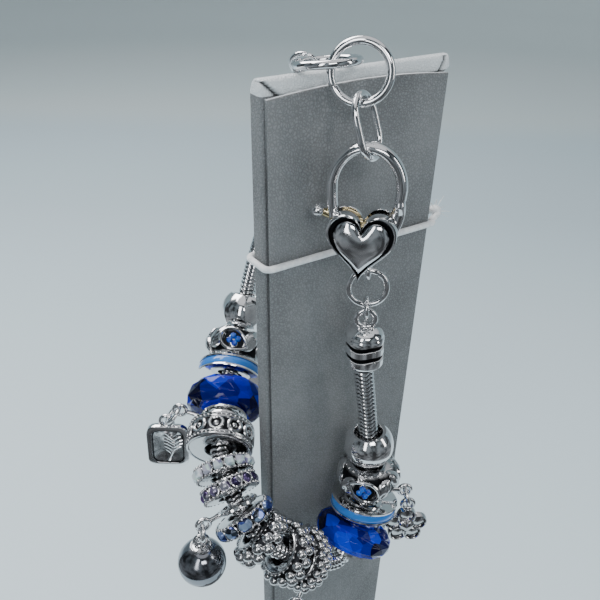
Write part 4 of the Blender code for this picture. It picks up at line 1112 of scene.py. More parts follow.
    def build_elastic(self) -> None:
        """Elastic loop with its ribbed cover, bulging free at the fluffy knot."""
        reach = self.elastic_radius + self.gap * 0.35
        half = self.half_width(self.height - self.elastic_drop) + reach
        deep = self.thickness / 2 + reach
        height = TOP_Z - self.elastic_drop
        corner = 0.9 * MM
        straight = deep - corner
        path = [point for point in rounded_loop(half, deep, corner, height, 5, 12)
                if point.x <= half - 0.05 * MM or abs(point.y) >= straight]
        path += [Vector((half + self.knot_reach * math.sin(math.pi * i / 10) ** 0.8,
                         -straight + 2 * straight * i / 10, height + 0.4 * MM * math.sin(math.pi * i / 10)))
                 for i in range(1, 10)]
        path.sort(key=lambda point: math.atan2(point.y * 3, point.x))
        form = Form().wire(path, self.elastic_radius, 12, True, UP, lump=0.06)
        knot = Vector((half + self.knot_reach * 0.8, 0.0, height + 0.6 * MM))
        form.ball(Matrix.Translation(knot) @ Matrix.Diagonal((1.0, 1.15, 0.9, 1.0)), 0.85 * MM, 16)
        for i in range(self.knot_hairs):
            tilt = 0.4 + i * 0.055
            away = polar(math.sin(tilt), i * 2.4, math.cos(tilt))
            bend = Vector((math.sin(i * 1.7), math.cos(i * 2.9), math.sin(i * 0.9))) * 0.5 * MM
            tip = knot + away * (1.5 * MM + 0.5 * MM * math.sin(i * 3.3))
            form.wire([knot + away * 0.6 * MM, (knot + tip) / 2 + bend * 0.6, tip + bend], 0.035 * MM, 4)
        form.piece("dressed_elastic", [CORD], ["elastic_band"], angle=60)


@dataclass
class HeartClasp:
    """Heart lobster clasp: plates, hook, eye, sprung lever."""

    width: float = 8.7 * MM
    height: float = 9.0 * MM
    depth: float = 4.2 * MM
    half_span: float = 4.2 * MM
    centre_u: float = 0.1 * MM
    centre_v: float = 7.4 * MM
    rise: float = 5.0 * MM
    arm: float = 0.74 * MM
    arm_depth: float = 1.45
    slot: float = 1.3 * MM
    seam: float = 0.2 * MM
    eye_place: tuple[float, float, float] = (1.0 * MM, -4.85 * MM, -2.35 * MM)
    home: Matrix = field(default_factory=lambda: axes(
        place(-4.0, -6.2, -17.6), UP.cross(Vector((-1, -1, 0))), Vector((-1, -1, 0))))

    def outline(self, count: int = 120) -> list[tuple[float, float]]:
        """Return the heart of unit size about a point inside it.

        Args:
            count: Points in it.

        Returns:
            The x and y of each point.
        """
        points = []
        for i in range(count):
            t = math.tau * i / count
            high = (13 * math.cos(t) - 5 * math.cos(2 * t) - 2 * math.cos(3 * t) - math.cos(4 * t)) / 29.0
            points.append((math.sin(t) ** 3 / 2, high + 0.09))
        return points

    def heart(self, table: list[tuple[float, float, float]]) -> tuple[list[list[Vector]], list[float]]:
        """Return loops of the heart.

        Args:
            table: Share of the full size, height and darkness of each loop.

        Returns:
            The loops and their darkness.
        """
        flat = self.outline()
        rows = []
        for share, rise, _ in table:
            soft = max(0.0, 1 - share / 0.8) ** 0.6
            row = []
            for i, (x, y) in enumerate(flat):
                angle = math.tau * i / len(flat)
                round_x, round_y = 0.5 * math.sin(angle), 0.42 * math.cos(angle) + 0.02
                row.append(Vector(((x + (round_x - x) * soft) * self.width * share,
                                   (y + (round_y - y) * soft) * self.height * share, rise)))
            rows.append(row)
        return rows, [dark for _, _, dark in table]

    def arc(self, steps: int = 40) -> list[Vector]:
        """Return the hook's arch from its left foot to its right end."""
        return [Vector((self.centre_u + self.half_span * math.cos(math.pi * (1 - i / steps)),
                        self.centre_v + self.rise * math.sin(math.pi * (1 - i / steps)), 0))
                for i in range(steps + 1)]

    def build(self) -> None:
        """Build the clasp's body and its lever."""
        half, slot = self.depth / 2, self.slot / 2
        front = [(0.985, slot, 0.0), (1.0, slot + 0.1 * MM, 0.0), (1.0, half - 0.2 * MM, 0.0),
                 (0.99, half - 0.06 * MM, 0.0), (0.965, half, 0.0), (0.935, half, 0.0),
                 (0.918, half - 0.06 * MM, 0.9), (0.908, half - 0.45 * MM, 1.0), (0.81, half - 0.5 * MM, 1.0),
                 (0.8, half - 0.4 * MM, 0.9), (0.79, half - 0.2 * MM, 0.2)]
        for i in range(1, 13):
            share = 1 - i / 12.4
            front.append((0.782 * share, half - 0.2 * MM + 0.72 * MM * math.sqrt(1 - share ** 2.2), 0.0))
        back = [(0.985, -slot, 0.0), (1.0, -slot - 0.1 * MM, 0.0), (1.0, -half + 0.5 * MM, 0.0),
                (0.985, -half + 0.2 * MM, 0.0), (0.94, -half, 0.0), (0.5, -half, 0.0), (0.1, -half, 0.0)]
        form = Form()
        for table in (front, back):
            rows, dark = self.heart(table)
            form.shell(rows, dark, matrix=self.home)
        low = [(x, y) for x, y in self.outline() if y * self.height < -2.0 * MM]
        block = [[Vector((x * self.width * 0.99, y * self.height * 0.99, z)) for x, y in low]
                 for z in (-slot, slot)]
        form.shell(block, 0.2, matrix=self.home)
        end = Vector((self.centre_u + self.half_span - 0.08 * MM, self.centre_v - 1.1 * MM, 0))
        hook = catmull(flat_points((-2.9, 1.2), (-3.55, 3.4), (-3.98, 5.4)) + self.arc()[1:] + [end], 2)
        form.wire(hook, self.arm, 24, normal=UP, depth=self.arm_depth, matrix=self.home)
        spot = Vector(self.eye_place)
        form.ring(1.04 * MM, 0.34 * MM, self.home @ axes(spot, Vector((0, 1, 0)), Vector((1, 0, 0))), around=40)
        stem = [spot + Vector((0, 0.7 * MM, 0.1 * MM)), spot + Vector((0, 2.4 * MM, 0.7 * MM))]
        form.wire(stem, 0.42 * MM, matrix=self.home)
        form.piece("dressed_clasp", [SILVER], ["clasp_body"], angle=32)
        self.build_lever()

    def build_lever(self) -> None:
        """Sprung lever: gate that widens to its foot, brass-toned bar and ribbed thumb tab."""
        form = Form()
        tip = self.centre_v - 1.1 * MM - self.seam
        end_u = self.centre_u + self.half_span - 0.12 * MM
        gate = catmull([Vector((end_u, tip, 0)), Vector((end_u + 0.02 * MM, 5.4 * MM, 0))]
                       + flat_points((4.12, 4.5), (3.85, 3.3), (3.3, 1.9), (2.6, 0.4)), 6)
        count = len(gate) - 1
        wide = [0.66 * MM + 0.3 * MM * math.sin(math.pi * 0.62 * i / count) for i in range(count + 1)]
        deep = [max(0.46 * MM / wide[i], 1.4 - 1.1 * max(0.0, i / count - 0.18) / 0.3) for i in range(count + 1)]
        form.wire(gate, wide, 20, normal=UP, depth=deep, matrix=self.home)
        bar = catmull(flat_points((2.4, 0.3), (0.4, 1.9), (-1.6, 2.6), (-5.5, 3.95)), 8)
        form.wire(bar, 0.52 * MM, 14, normal=UP, depth=0.85, finish=1, matrix=self.home)
        tab = self.home @ slide(-5.72 * MM, 4.0 * MM, 0)
        form.ball(tab @ Matrix.Diagonal((1.0, 0.92, 1.15, 1.0)), 0.93 * MM, 24)
        for i in range(5):
            lean = 0.5 + 0.42 * i
            ridge = [Vector((0.93 * MM * math.cos(lean) * math.cos(turn),
                             0.87 * MM * math.sin(lean) * math.cos(turn), 1.07 * MM * math.sin(turn)))
                     for turn in (-0.8, -0.4, 0.0, 0.4, 0.8)]
            form.wire(ridge, 0.09 * MM, 8, matrix=tab)
        form.piece("dressed_lever", [SILVER, BRASS], ["clasp_lever"], LEVER, 32)


@dataclass
class Links:
    """Rings and links of the clasp end, and the jump rings of the charms."""

    wires: dict[str, tuple[float, float | None]] = field(default_factory=lambda: {
        "ring_front": (0.52, 207.0), "ring_rear": (0.52, 195.0), "clasp_ring": (0.42, 60.0),
        "cap_link_front": (0.3, 100.0), "cap_link_rear": (0.3, 80.0), "flower_ring": (0.33, 20.0),
        "bottom_ring": (0.33, 200.0), "ball_charm_ring": (0.33, 150.0), "plate_ring": (0.33, 170.0)})
    oval_wire: float = 0.46 * MM

    def build(self) -> None:
        """Build every ring on its CAD node, and the oval link."""
        for node, (wire, joint) in self.wires.items():
            home = node_home(node, VIEW_RIGHT, along=-VIEW_AWAY + UP * 0.3)
            low, high = node_span(node, home)
            radius = (high.x - low.x + high.y - low.y) / 4 - wire * MM
            form = Form().ring(radius, wire * MM, home, joint, 16, 72)
            form.piece("dressed_" + node, [SILVER], [node], angle=45)
        home = node_home("oval_link", UP)
        low, high = node_span("oval_link", home)
        long, wide = (high.x - low.x) / 2 - self.oval_wire, (high.y - low.y) / 2 - self.oval_wire
        path = []
        for end in (1, -1):
            for i in range(17):
                angle = -math.pi / 2 + math.pi * i / 16 + (0 if end == 1 else math.pi)
                path.append(Vector((end * (long - wide) + wide * math.cos(angle), wide * math.sin(angle), 0)))
        form = Form().wire(path, self.oval_wire, 16, True, UP, matrix=home)
        form.piece("dressed_oval_link", [SILVER], ["oval_link"])


@dataclass
class EndCap:
    """End cap with its domed top, wavy darkened bands and eyelet."""

    node: str
    radius: float = 2.65 * MM
    length: float = 4.7 * MM
    dome: float = 1.3 * MM
    bore: float = 1.75 * MM
    groove_depth: float = 0.3 * MM
    eye_radius: float = 1.3 * MM
    eye_wire: float = 0.42 * MM
    bands: tuple[float, float] = (0.72, 0.36)

    def home(self) -> Matrix:
        """Return the cap's frame: origin in the middle of its mouth, z towards the eyelet."""
        middle = node_home(self.node, CAMERA_SIDE, long_axis=True, along=UP)
        low, _ = node_span(self.node, middle)
        return middle @ Matrix.Translation((0, 0, low.z))

    def facing(self, home: Matrix) -> float:
        """Return which way the eyelet's plane faces.

        Args:
            home: The cap's frame.

        Returns:
            The angle about z of the plane's normal.
        """
        total = self.length + self.dome
        turn = np.array(home.inverted())
        local = node_points(self.node) @ turn[:3, :3].T + turn[:3, 3]
        eye = local[local[:, 2] > total + 0.3 * MM][:, :2]
        vectors = np.linalg.svd(eye - eye.mean(axis=0), full_matrices=False)[2]
        return math.atan2(vectors[1][1], vectors[1][0])

    def build(self) -> Matrix:
        """Build the cap and return its frame."""
        home = self.home()
        total = self.length + self.dome
        form = Form()
        sides = 64
        wide, wave = self.radius, 0.13 * MM
        rows: list[list[Vector]] = []
        dark: list[float] = []

        def add(radius: float, height: float, shade: float = 0.0, swing: float = 0.0) -> None:
            """Add one loop.

            Args:
                radius: Its radius.
                height: Its height.
                shade: Its darkness.
                swing: Height of its waves.
            """
            rows.append([polar(radius, math.tau * i / sides, height + swing * math.sin(math.tau * i * 4 / sides))
                         for i in range(sides)])
            dark.append(shade)

        for radius, height, shade in ((self.bore, 3.6, 0.8), (self.bore, 0.05, 0.2), (wide * 0.93, 0.0, 0.0),
                                      (wide, 0.12, 0.0), (wide * 1.02, 0.35, 0.0)):
            add(radius, height * MM, shade)
        low = wide - self.groove_depth
        for share in reversed(self.bands):
            for radius, rise, shade in (
                    (wide * 1.02, -0.42, 0.0), (wide * 0.99, -0.33, 0.2), (low, -0.28, 1.0),
                    (low - 0.04 * MM, 0.0, 1.0), (low, 0.28, 1.0), (wide * 0.99, 0.33, 0.2),
                    (wide * 1.02, 0.42, 0.0)):
                add(radius, self.length * share + rise * MM, shade, wave)
        add(wide * 1.02, self.length - 0.25 * MM)
        add(wide * 0.98, self.length - 0.12 * MM, 0.4)
        add(wide * 0.97, self.length, 0.3)
        for i in range(1, 10):
            angle = math.pi / 2 * i / 9.4
            add(wide * 0.97 * math.cos(angle), self.length + self.dome * math.sin(angle))
        form.shell(rows, dark, matrix=home)
        turn = home @ Matrix.Rotation(self.facing(home), 4, "Z")
        seat = turn @ axes(Vector((0, 0, total + self.eye_radius - 0.25 * MM)), UP, Vector((1, 0, 0)))
        form.ring(self.eye_radius, self.eye_wire, seat, None, 16, 48)
        form.ring(0.75 * MM, 0.22 * MM, home @ slide(0, 0, total - 0.1 * MM), None, 10, 32, 0.4)
        form.piece("dressed_" + self.node, [SILVER], [self.node], angle=40)
        return home


@dataclass
class SnakeChain:
    """Round snake chain of overlapping scales, laid by Geometry Nodes, with painted shade between the scales and
    on a darkened core.
    """

    radius: float = 1.45 * MM
    pitch: float = 0.73 * MM
    scales: int = 4
    hidden: float = 3.3 * MM
    straight: float = 1.5 * MM

    def scale_ring(self) -> bpy.types.Mesh:
        """Return one ring of pointed scales, each a closed plate that lifts at its tip."""
        form = Form()
        across, along = 5, 6
        for k in range(self.scales):
            outer, inner = [], []
            for j in range(along + 1):
                t = j / along
                for face, rows in ((0, outer), (1, inner)):
                    row = []
                    for i in range(across + 1):
                        a = 2 * i / across - 1
                        swell = 1 - a * a
                        bulge = math.sin(math.pi * max(0.0, (t - 0.35) / 0.65))
                        reach = self.radius * (0.78 + 0.22 * bulge * (0.65 + 0.35 * swell))
                        height = self.pitch * (0.95 - t * (1.3 + 0.75 * swell ** 0.7))
                        angle = math.tau * (k + a * 0.56) / self.scales
                        reach -= face * 0.35 * MM
                        row.append(Vector((reach * math.cos(angle), reach * math.sin(angle), -height)))
                    rows.append(row)
            loops = [outer[j] + inner[j][::-1] for j in range(along + 1)]
            # Painted shade between the scales: the roots that lie under the scale before are dark, and so is the
            # edge of the lifted tip.
            dark = [1.0, 1.0, 1.0, 0.4, 0.0, 0.0, 0.8]
            form.shell(loops, dark)
        mesh = bpy.data.meshes.new("scale_ring")
        mesh.from_pydata(form.points, [], form.faces)
        mark = mesh.attributes.new("recess", "FLOAT", "POINT")
        mark.data.foreach_set("value", form.recess)
        mesh.shade_smooth()
        return mesh

    def route(self, front: Matrix, rear: Matrix) -> list[Vector]:
        """Return the chain's centre line.

        Args:
            front: Frame of the front cap.
            rear: Frame of the rear cap.

        Returns:
            Its points, from inside the front cap to inside the rear one.
        """
        points = []
        for home, order in ((front, 1), (rear, -1)):
            down = home.to_3x3() @ -UP
            mouth = home.translation
            ends = [mouth - down * self.hidden, mouth, mouth + down * self.straight]
            points.append(ends[::order])
        return catmull(points[0] + [place(*point) for point in CHAIN_ROUTE] + points[1], 10)

    def build(self, front: Matrix, rear: Matrix) -> None:
        """Build the chain between two caps.

        Args:
            front: Frame of the front cap.
            rear: Frame of the rear cap.
        """
        path = self.route(front, rear)
        curve = bpy.data.curves.new("chain_line", "CURVE")
        curve.dimensions = "3D"
        line = curve.splines.new("POLY")
        line.points.add(len(path) - 1)
        for knot, point in zip(line.points, path):
            knot.co = (*point, 1.0)
        helper = bpy.data.objects.new("scale_ring", self.scale_ring())
        bpy.context.scene.collection.objects.link(helper)
        mesh = run_tree("snake_chain_scales", curve, chain_tree(), {
            "Scale Ring": helper, "Pitch": self.pitch, "Turn": 0.0, "Finish": SILVER.make()})
        bpy.data.objects.remove(helper, do_unlink=True)
        outwards(mesh)
        settle("dressed_snake_chain", mesh, ["snake_chain"], angle=40)
        # Painted shade: a darkened core inside the scales, seen through the gaps between them.
        core = Form().wire(path, self.radius * 0.8, 16, recess=0.8).piece("chain_core", [SILVER], [])


@dataclass
class Bead:
    """A bored bead on the chain: its CAD node, radius and length."""

    node: str
    radius: float
    length: float
    bore: float = 2.1 * MM

    def home(self) -> Matrix:
        """Return the bead's frame: z along the chain, x towards the camera's side."""
        return node_home(self.node)

    def barrel(self, form: Form, body: float, upper: list[tuple[float, float, float]], home: Matrix) -> None:
        """Add a bored body, the same above and below its middle.

        Args:
            form: The form that it joins.
            body: Its full radius.
            upper: Radius share, height share and darkness of its side, from the top to the middle.
            home: The bead's frame.
        """
        half = self.length / 2
        table = upper + [(share, -high, dark) for share, high, dark in reversed(upper) if high]
        profile = [(self.bore, -half + 0.2 * MM, 0.6), (self.bore, half - 0.2 * MM, 0.6),
                   (self.bore + 0.2 * MM, half, 0.0)]
        profile += [(self.bore + (body - self.bore) * share, half * high, dark) for share, high, dark in table]
        profile += [(self.bore + 0.2 * MM, -half, 0.0)]
        form.lathe(profile, 64, home)

    def seats(self, home: Matrix, count: int, reach: float) -> list[Matrix]:
        """Return frames spread evenly round the bead, each with its z pointing out."""
        return [home @ axes(out * reach, UP, out) for out in circle(1.0, count)]

    def grains(self, suffix: str, spots: list[Vector], radius: float, home: Matrix, segments: int = 14) -> None:
        """Put round grains on the bead.

        Args:
            suffix: End of the piece's name.
            spots: Their middles in the bead's frame.
            radius: Their radius.
            home: The bead's frame.
            segments: Points round a grain.
        """
        name = self.node + suffix
        mesh = bpy.data.meshes.new(name + "_seats")
        mesh.from_pydata([home @ spot for spot in spots], [], [])
        made = run_tree(name, mesh, granule_tree(), {"Grain Radius": radius, "Segments": segments,
                                                     "Finish": AGED.make()})
        made.attributes.new("recess", "FLOAT", "POINT")
        piece = settle(name, made, [], angle=60)

    def rim_grains(self, suffix: str, reach: float, share: float, count: int, radius: float, home: Matrix,
                   shift: float = 0.0) -> None:
        """Put a row of fine grains round each end of the bead.

        Args:
            suffix: End of the piece's name.
            reach: Radius of the rows.
            share: Height of the first row as a share of the bead's length.
            count: Grains in a row.
            radius: Their radius.
            home: The bead's frame.
            shift: Turn of the rows as a share of a step.
        """
        high = self.length * share
        rows = circle(reach, count, high, shift) + circle(reach, count, -high, shift)
        self.grains(suffix, rows, radius, home, 10)


@dataclass
class BallBead(Bead):
    """Plain polished ball."""

    def build(self) -> None:
        """Build the ball with soft lips at its bore."""
        half = self.length / 2
        limit = math.asin(half / self.radius)
        profile = [(self.bore, -half + 0.15 * MM, 0.5), (self.bore, half - 0.15 * MM, 0.5),
                   (self.bore + 0.12 * MM, half)]
        for i in range(31):
            angle = limit * (1 - 2 * i / 30)
            profile.append((self.radius * math.cos(angle), self.radius * math.sin(angle)))
        profile.append((self.bore + 0.12 * MM, -half))
        Form().lathe(profile, 72, self.home()).piece("dressed_" + self.node, [SILVER], [self.node], angle=40)


@dataclass
class LeafBead(Bead):
    """Bead of overlapping veined leaves with a leaf-shaped cell of blue crystals."""

    leaves: int = 5

    def surface(self, angle: float, height: float, rise: float) -> Vector:
        """Return a point above the bead's rounded side.

        Args:
            angle: Its angle about the bore.
            height: Its height along the bore.
            rise: Its distance above the side.

        Returns:
            The point in the bead's frame.
        """
        half = self.length / 2
        body = self.radius - 0.75 * MM
        share = max(-1.0, min(1.0, height / (half * 1.35)))
        reach = body * math.sqrt(1 - share ** 2 * 0.55) + rise
        return polar(reach, angle, height)

    def leaf(self, form: Form, home: Matrix, angle: float, height: float, spin: float, length: float,
             width: float, thick: float) -> None:
        """Add one leaf with a sunk midrib and veins, laid on the bead's side.

        Args:
            form: The form that it joins.
            home: The bead's frame.
            angle: Angle of its middle about the bore.
            height: Height of its middle.
            spin: Lean of its length from the way round the bead.
            length: Its length.
            width: Its width.
            thick: Height of its dome.
        """
        rows: list[list[Vector]] = []
        across = 10
        for i in range(19):
            u = -1 + 2 * i / 18
            wide = width / 2 * max(0.02, (1 - u * u)) ** 0.7 * (1.12 - 0.25 * u)
            loop = []
            for side in (1, -1):
                for k in range(across + 1):
                    v = (-1 + 2 * k / across) * side
                    dome = (1 - v * v) ** 0.5
                    vein = 0.16 * math.exp(-(v / 0.13) ** 2) + 0.07 * math.cos(9 * u + 5 * abs(v)) * dome
                    rise = thick * (dome * (1 - 0.5 * u * u) - vein) if side == 1 else -0.4 * MM
                    x, y = u * length / 2, v * wide
                    flat_x = x * math.cos(spin) - y * math.sin(spin)
                    flat_y = x * math.sin(spin) + y * math.cos(spin)
                    loop.append(self.surface(angle + flat_x / self.radius, height + flat_y, rise))
            rows.append(loop)
        form.shell(rows, matrix=home)

    def build(self) -> None:
        """Build the body, the leaves and the crystal cell."""
        home = self.home()
        form = Form()
        self.barrel(form, self.radius - 0.75 * MM,
                    [(0.45, 1.0, 0.2), (0.75, 0.85, 0.6), (0.93, 0.55, 1.0), (1.0, 0.0, 1.0)], home)
        for i in range(self.leaves):
            angle = math.tau * i / self.leaves + 0.75
            self.leaf(form, home, angle, 0.5 * MM, 0.9, 5.0 * MM, 2.5 * MM, 0.62 * MM)
            self.leaf(form, home, angle + 0.6, -0.8 * MM, -0.75, 4.4 * MM, 2.1 * MM, 0.5 * MM)
        cell, spin = [], -0.35
        for i in range(36):
            t = math.tau * i / 36
            x = 2.5 * MM * math.cos(t)
            y = 1.6 * MM * math.sin(t) * (1 - 0.3 * math.cos(t)) * abs(math.sin(t)) ** 0.25
            cell.append(self.surface(0.1 + (x * math.cos(spin) - y * math.sin(spin)) / self.radius,
                                     -0.2 * MM + x * math.sin(spin) + y * math.cos(spin), 0.6 * MM))
        form.wire(cell, 0.26 * MM, 10, True, matrix=home)
        floor = self.surface(0.1, -0.3 * MM, 0.0)
        form.wire([floor * 0.96, floor * 1.06], [1.7 * MM, 1.6 * MM], 20, matrix=home, recess=1.0)
        for k in range(4):
            turn = math.tau * k / 4 + 0.3
            angle = 0.1 + 0.72 * MM * math.cos(turn) / self.radius
            high = -0.2 * MM + 0.62 * MM * math.sin(turn)
            seat = home @ axes(self.surface(angle, high, 0.5 * MM), UP, polar(1.0, angle))
            form.stone(seat, 0.5 * MM, 0.7 * MM, 1)
        form.piece("dressed_" + self.node, [AGED, BLUE_STONE], [self.node], angle=28)
        self.rim_grains("_grains", self.radius * 0.66, 0.44, 22, 0.27 * MM, home, 0.5)


@dataclass
class EnamelBead(Bead):
    """Enamelled ring between silver rims."""

    def build(self) -> None:
        """Build the rims and the glossy band."""
        home, half, rim = self.home(), self.length / 2, 0.42 * MM
        form = Form()
        for side in (1, -1):
            form.lathe([(self.bore, side * half, 0.3), (self.radius - 0.25 * MM, side * half),
                        (self.radius - 0.06 * MM, side * (half - 0.06 * MM)),
                        (self.radius, side * (half - 0.18 * MM)),
                        (self.radius - 0.04 * MM, side * (half - rim)),
                        (self.radius - 0.4 * MM, side * (half - rim), 0.7),
                        (self.bore, side * (half - rim), 0.7)], 72, home, 1)
        profile = [(self.bore, half - rim), (self.radius - 0.3 * MM, half - rim + 0.02 * MM)]
        for i in range(9):
            angle = math.pi * i / 8
            profile.append((self.radius - 0.22 * MM + 0.16 * MM * math.sin(angle),
                            (half - rim) * math.cos(angle) * 0.96))
        profile += [(self.radius - 0.3 * MM, -half + rim - 0.02 * MM), (self.bore, -half + rim)]
        form.lathe(profile, 72, home)
        form.piece("dressed_" + self.node, [ENAMEL, SILVER], [self.node], angle=35)


@dataclass
class GlassBead(Bead):
    """Faceted cobalt glass on a flanged silver core."""

    core_node: str = ""
    sides: int = 14
    rim_radius: float = 3.5 * MM
    rim_length: float = 0.5 * MM

    def build(self) -> None:
        """Build the glass and its core."""
        home = self.home()
        bore = 3.05 * MM
        half = self.length / 2 - self.rim_length - 0.3 * MM
        rows = [(0.55, 1.0), (0.67, 0.98), (0.86, 0.7), (0.97, 0.28),
                (0.97, -0.28), (0.86, -0.7), (0.67, -0.98), (0.55, -1.0)]
        loops = [circle(self.radius * wide, self.sides, half * high, 0.5 * (k % 2))
                 for k, (wide, high) in enumerate(rows)]
        loops += [circle(bore, self.sides, -half), circle(bore, self.sides, half)]
        form = Form().shell(loops, looped=True, matrix=home)
        split = Form(form.points, form.recess)
        for face in form.faces:
            split.faces += [(face[0], face[1], face[2]), (face[0], face[2], face[3])]
            split.finish += [0, 0]
        glass = split.piece("dressed_" + self.node, [COBALT_GLASS_PAINTED_FACETS], [self.node], angle=4)
        bevel = glass.modifiers.new("edge", "BEVEL")
        bevel.width = 0.07 * MM
        bevel.segments = 2
        bevel.limit_method = "ANGLE"
        bevel.angle_limit = math.radians(6)
        inner = 2.1 * MM
        full = self.length / 2
        step = full - self.rim_length
        core = 2.75 * MM
        profile = [(inner, full - 0.1 * MM), (inner + 0.15 * MM, full), (self.rim_radius - 0.2 * MM, full),
                   (self.rim_radius, full - 0.2 * MM), (self.rim_radius - 0.08 * MM, step), (core, step),
                   (core, -step), (self.rim_radius - 0.08 * MM, -step), (self.rim_radius, -full + 0.2 * MM),
                   (self.rim_radius - 0.2 * MM, -full), (inner + 0.15 * MM, -full), (inner, -full + 0.1 * MM)]
        core_form = Form().lathe(profile, 56, home)
        core_form.piece("dressed_" + self.core_node, [SILVER], [self.core_node], angle=40)


@dataclass
class GrainBead(Bead):
    """Silver bead covered with rows of round grains."""

    grain: float = 0.5 * MM
    rows: int = 3
    count: int = 14

    def build(self) -> None:
        """Build the darkened body with its rims, and the grains."""
        home = self.home()
        body = self.radius - self.grain * 0.9
        form = Form()
        self.barrel(form, body, [(0.5, 1.0, 0.3), (0.8, 0.85, 0.8), (0.98, 0.5, 1.0), (1.02, 0.0, 1.0)], home)
        for side in (1, -1):
            form.ring(body * 0.74, 0.26 * MM, home @ slide(0, 0, side * self.length * 0.43), None, 10, 56)
        form.piece("dressed_" + self.node, [AGED], [self.node])
        spots = []
        for row in range(self.rows):
            share = (row + 0.5) / self.rows * 2 - 1
            spots += circle(body * (1.0 - 0.16 * share ** 2), self.count, share * self.length * 0.36,
                            0.5 * (row % 2))
        self.grains("_grains", spots, self.grain, home)
        self.rim_grains("_fine_grains", body * 0.82, -0.43, 26, 0.24 * MM, home)


@dataclass
class StoneBead(Bead):
    """Rondelle with a row of set stones between two milled rims."""

    cut: Stone = Stone.CRYSTAL
    count: int = 9
    stone: float = 0.85 * MM

    def build(self) -> None:
        """Build the rims, the settings and the stones."""
        home = self.home()
        body = self.radius - 0.8 * MM
        form = Form()
        self.barrel(form, body, [(0.8, 1.0, 0.0), (1.08, 0.92, 0.0), (1.12, 0.78, 0.0), (1.08, 0.64, 0.1),
                                 (0.92, 0.58, 1.0)], home)
        for seat in self.seats(home, self.count, body + 0.12 * MM):
            if self.cut is Stone.CABOCHON:
                form.ball(seat @ Matrix.Diagonal((1.0, 1.0, 0.85, 1.0)), self.stone * 0.95, 18, 1)
            else:
                form.stone(seat @ slide(0, 0, 0.25 * MM), self.stone * 0.95, 1.2 * MM, 1,
                           self.cut is Stone.SQUARE)
            form.ring(self.stone * 1.02, 0.14 * MM, seat @ slide(0, 0, 0.1 * MM), None, 8, 24)
        form.piece("dressed_" + self.node, [AGED, STONE_FINISH[self.cut]], [self.node], angle=22)
        self.rim_grains("_grains", body * 1.1, 0.39, 34, 0.24 * MM, home)


@dataclass
class CircleBead(Bead):
    """Bead with a raised row of ringed discs between roped rims."""

    count: int = 11

    def build(self) -> None:
        """Build the body, the roped rims and the ringed discs."""
        home = self.home()
        body = self.radius - 0.45 * MM
        form = Form()
        self.barrel(form, body, [(0.8, 1.0, 0.1), (0.96, 0.9, 0.4), (0.98, 0.6, 1.0), (1.0, 0.0, 1.0)], home)
        for share in (0.43, 0.31, -0.31, -0.43):
            form.ring(body * 1.01, 0.24 * MM, home @ slide(0, 0, self.length * share), None, 10, 72)
        for seat in self.seats(home, self.count, body + 0.1 * MM):
            form.ring(0.98 * MM, 0.3 * MM, seat, None, 10, 30)
            form.ball(seat @ Matrix.Diagonal((1, 1, 0.7, 1)), 0.42 * MM, 14)
        form.piece("dressed_" + self.node, [AGED], [self.node])
        self.rim_grains("_grains", body * 1.03, 0.37, 44, 0.2 * MM, home)


@dataclass
class Bail:
    """Thin ring round the chain with a stem and the eye for a jump ring."""

    node: str
    ring_node: str
    radius: float = 3.2 * MM
    length: float = 0.7 * MM
    bore: float = 2.1 * MM
    eye_radius: float = 0.95 * MM
    eye_wire: float = 0.33 * MM

    def build(self) -> None:
        """Build the bail on its CAD node."""
        points = node_points(self.node)
        link = node_home(self.ring_node, UP)
        top = link.translation
        far = max(range(len(points)), key=lambda i: -(Vector(points[i]) - top).length)
        near = Vector(points[far].tolist())
        order = sorted(((Vector(p) - near).length, tuple(p)) for p in points.tolist())
        eye_points = np.array([p for distance, p in order if distance < 2.6 * MM])
        ring_points = np.array([p for distance, p in order if distance > order[-1][0] - 6.3 * MM])
        mean = ring_points.mean(axis=0)
        axis = Vector(np.linalg.svd(ring_points - mean, full_matrices=False)[2][2].tolist())
        home = axes(Vector(mean.tolist()), CAMERA_SIDE, axis)
        turn = np.array(home.to_3x3())
        local = (ring_points - mean) @ turn
        middle = (local.min(axis=0) + local.max(axis=0)) / 2
        home = home @ Matrix.Translation(Vector(middle.tolist()))
        eye_mean = eye_points.mean(axis=0)
        eye_axis = Vector(np.linalg.svd(eye_points - eye_mean, full_matrices=False)[2][2].tolist())
        eye = Vector(eye_mean.tolist())
        half, soft = self.length / 2, 0.18 * MM
        form = Form()
        form.lathe([(self.bore, half - soft), (self.bore + soft, half), (self.radius - soft, half),
                    (self.radius, half - soft), (self.radius, -half + soft), (self.radius - soft, -half),
                    (self.bore + soft, -half), (self.bore, -half + soft)], 48, home)
        out = (eye - home.translation).normalized()
        path = [home.translation + out * (self.radius - 0.4 * MM), eye - out * (self.eye_radius - 0.05 * MM)]
        if (path[1] - home.translation).length > self.radius:
            form.wire([path[0], path[0].lerp(path[1], 0.5), path[1]], [0.42 * MM, 0.34 * MM, 0.4 * MM], 12)
        form.ring(self.eye_radius, self.eye_wire, axes(eye, UP, eye_axis), None, 12, 36)
        form.piece("dressed_" + self.node, [SILVER], [self.node], angle=40)


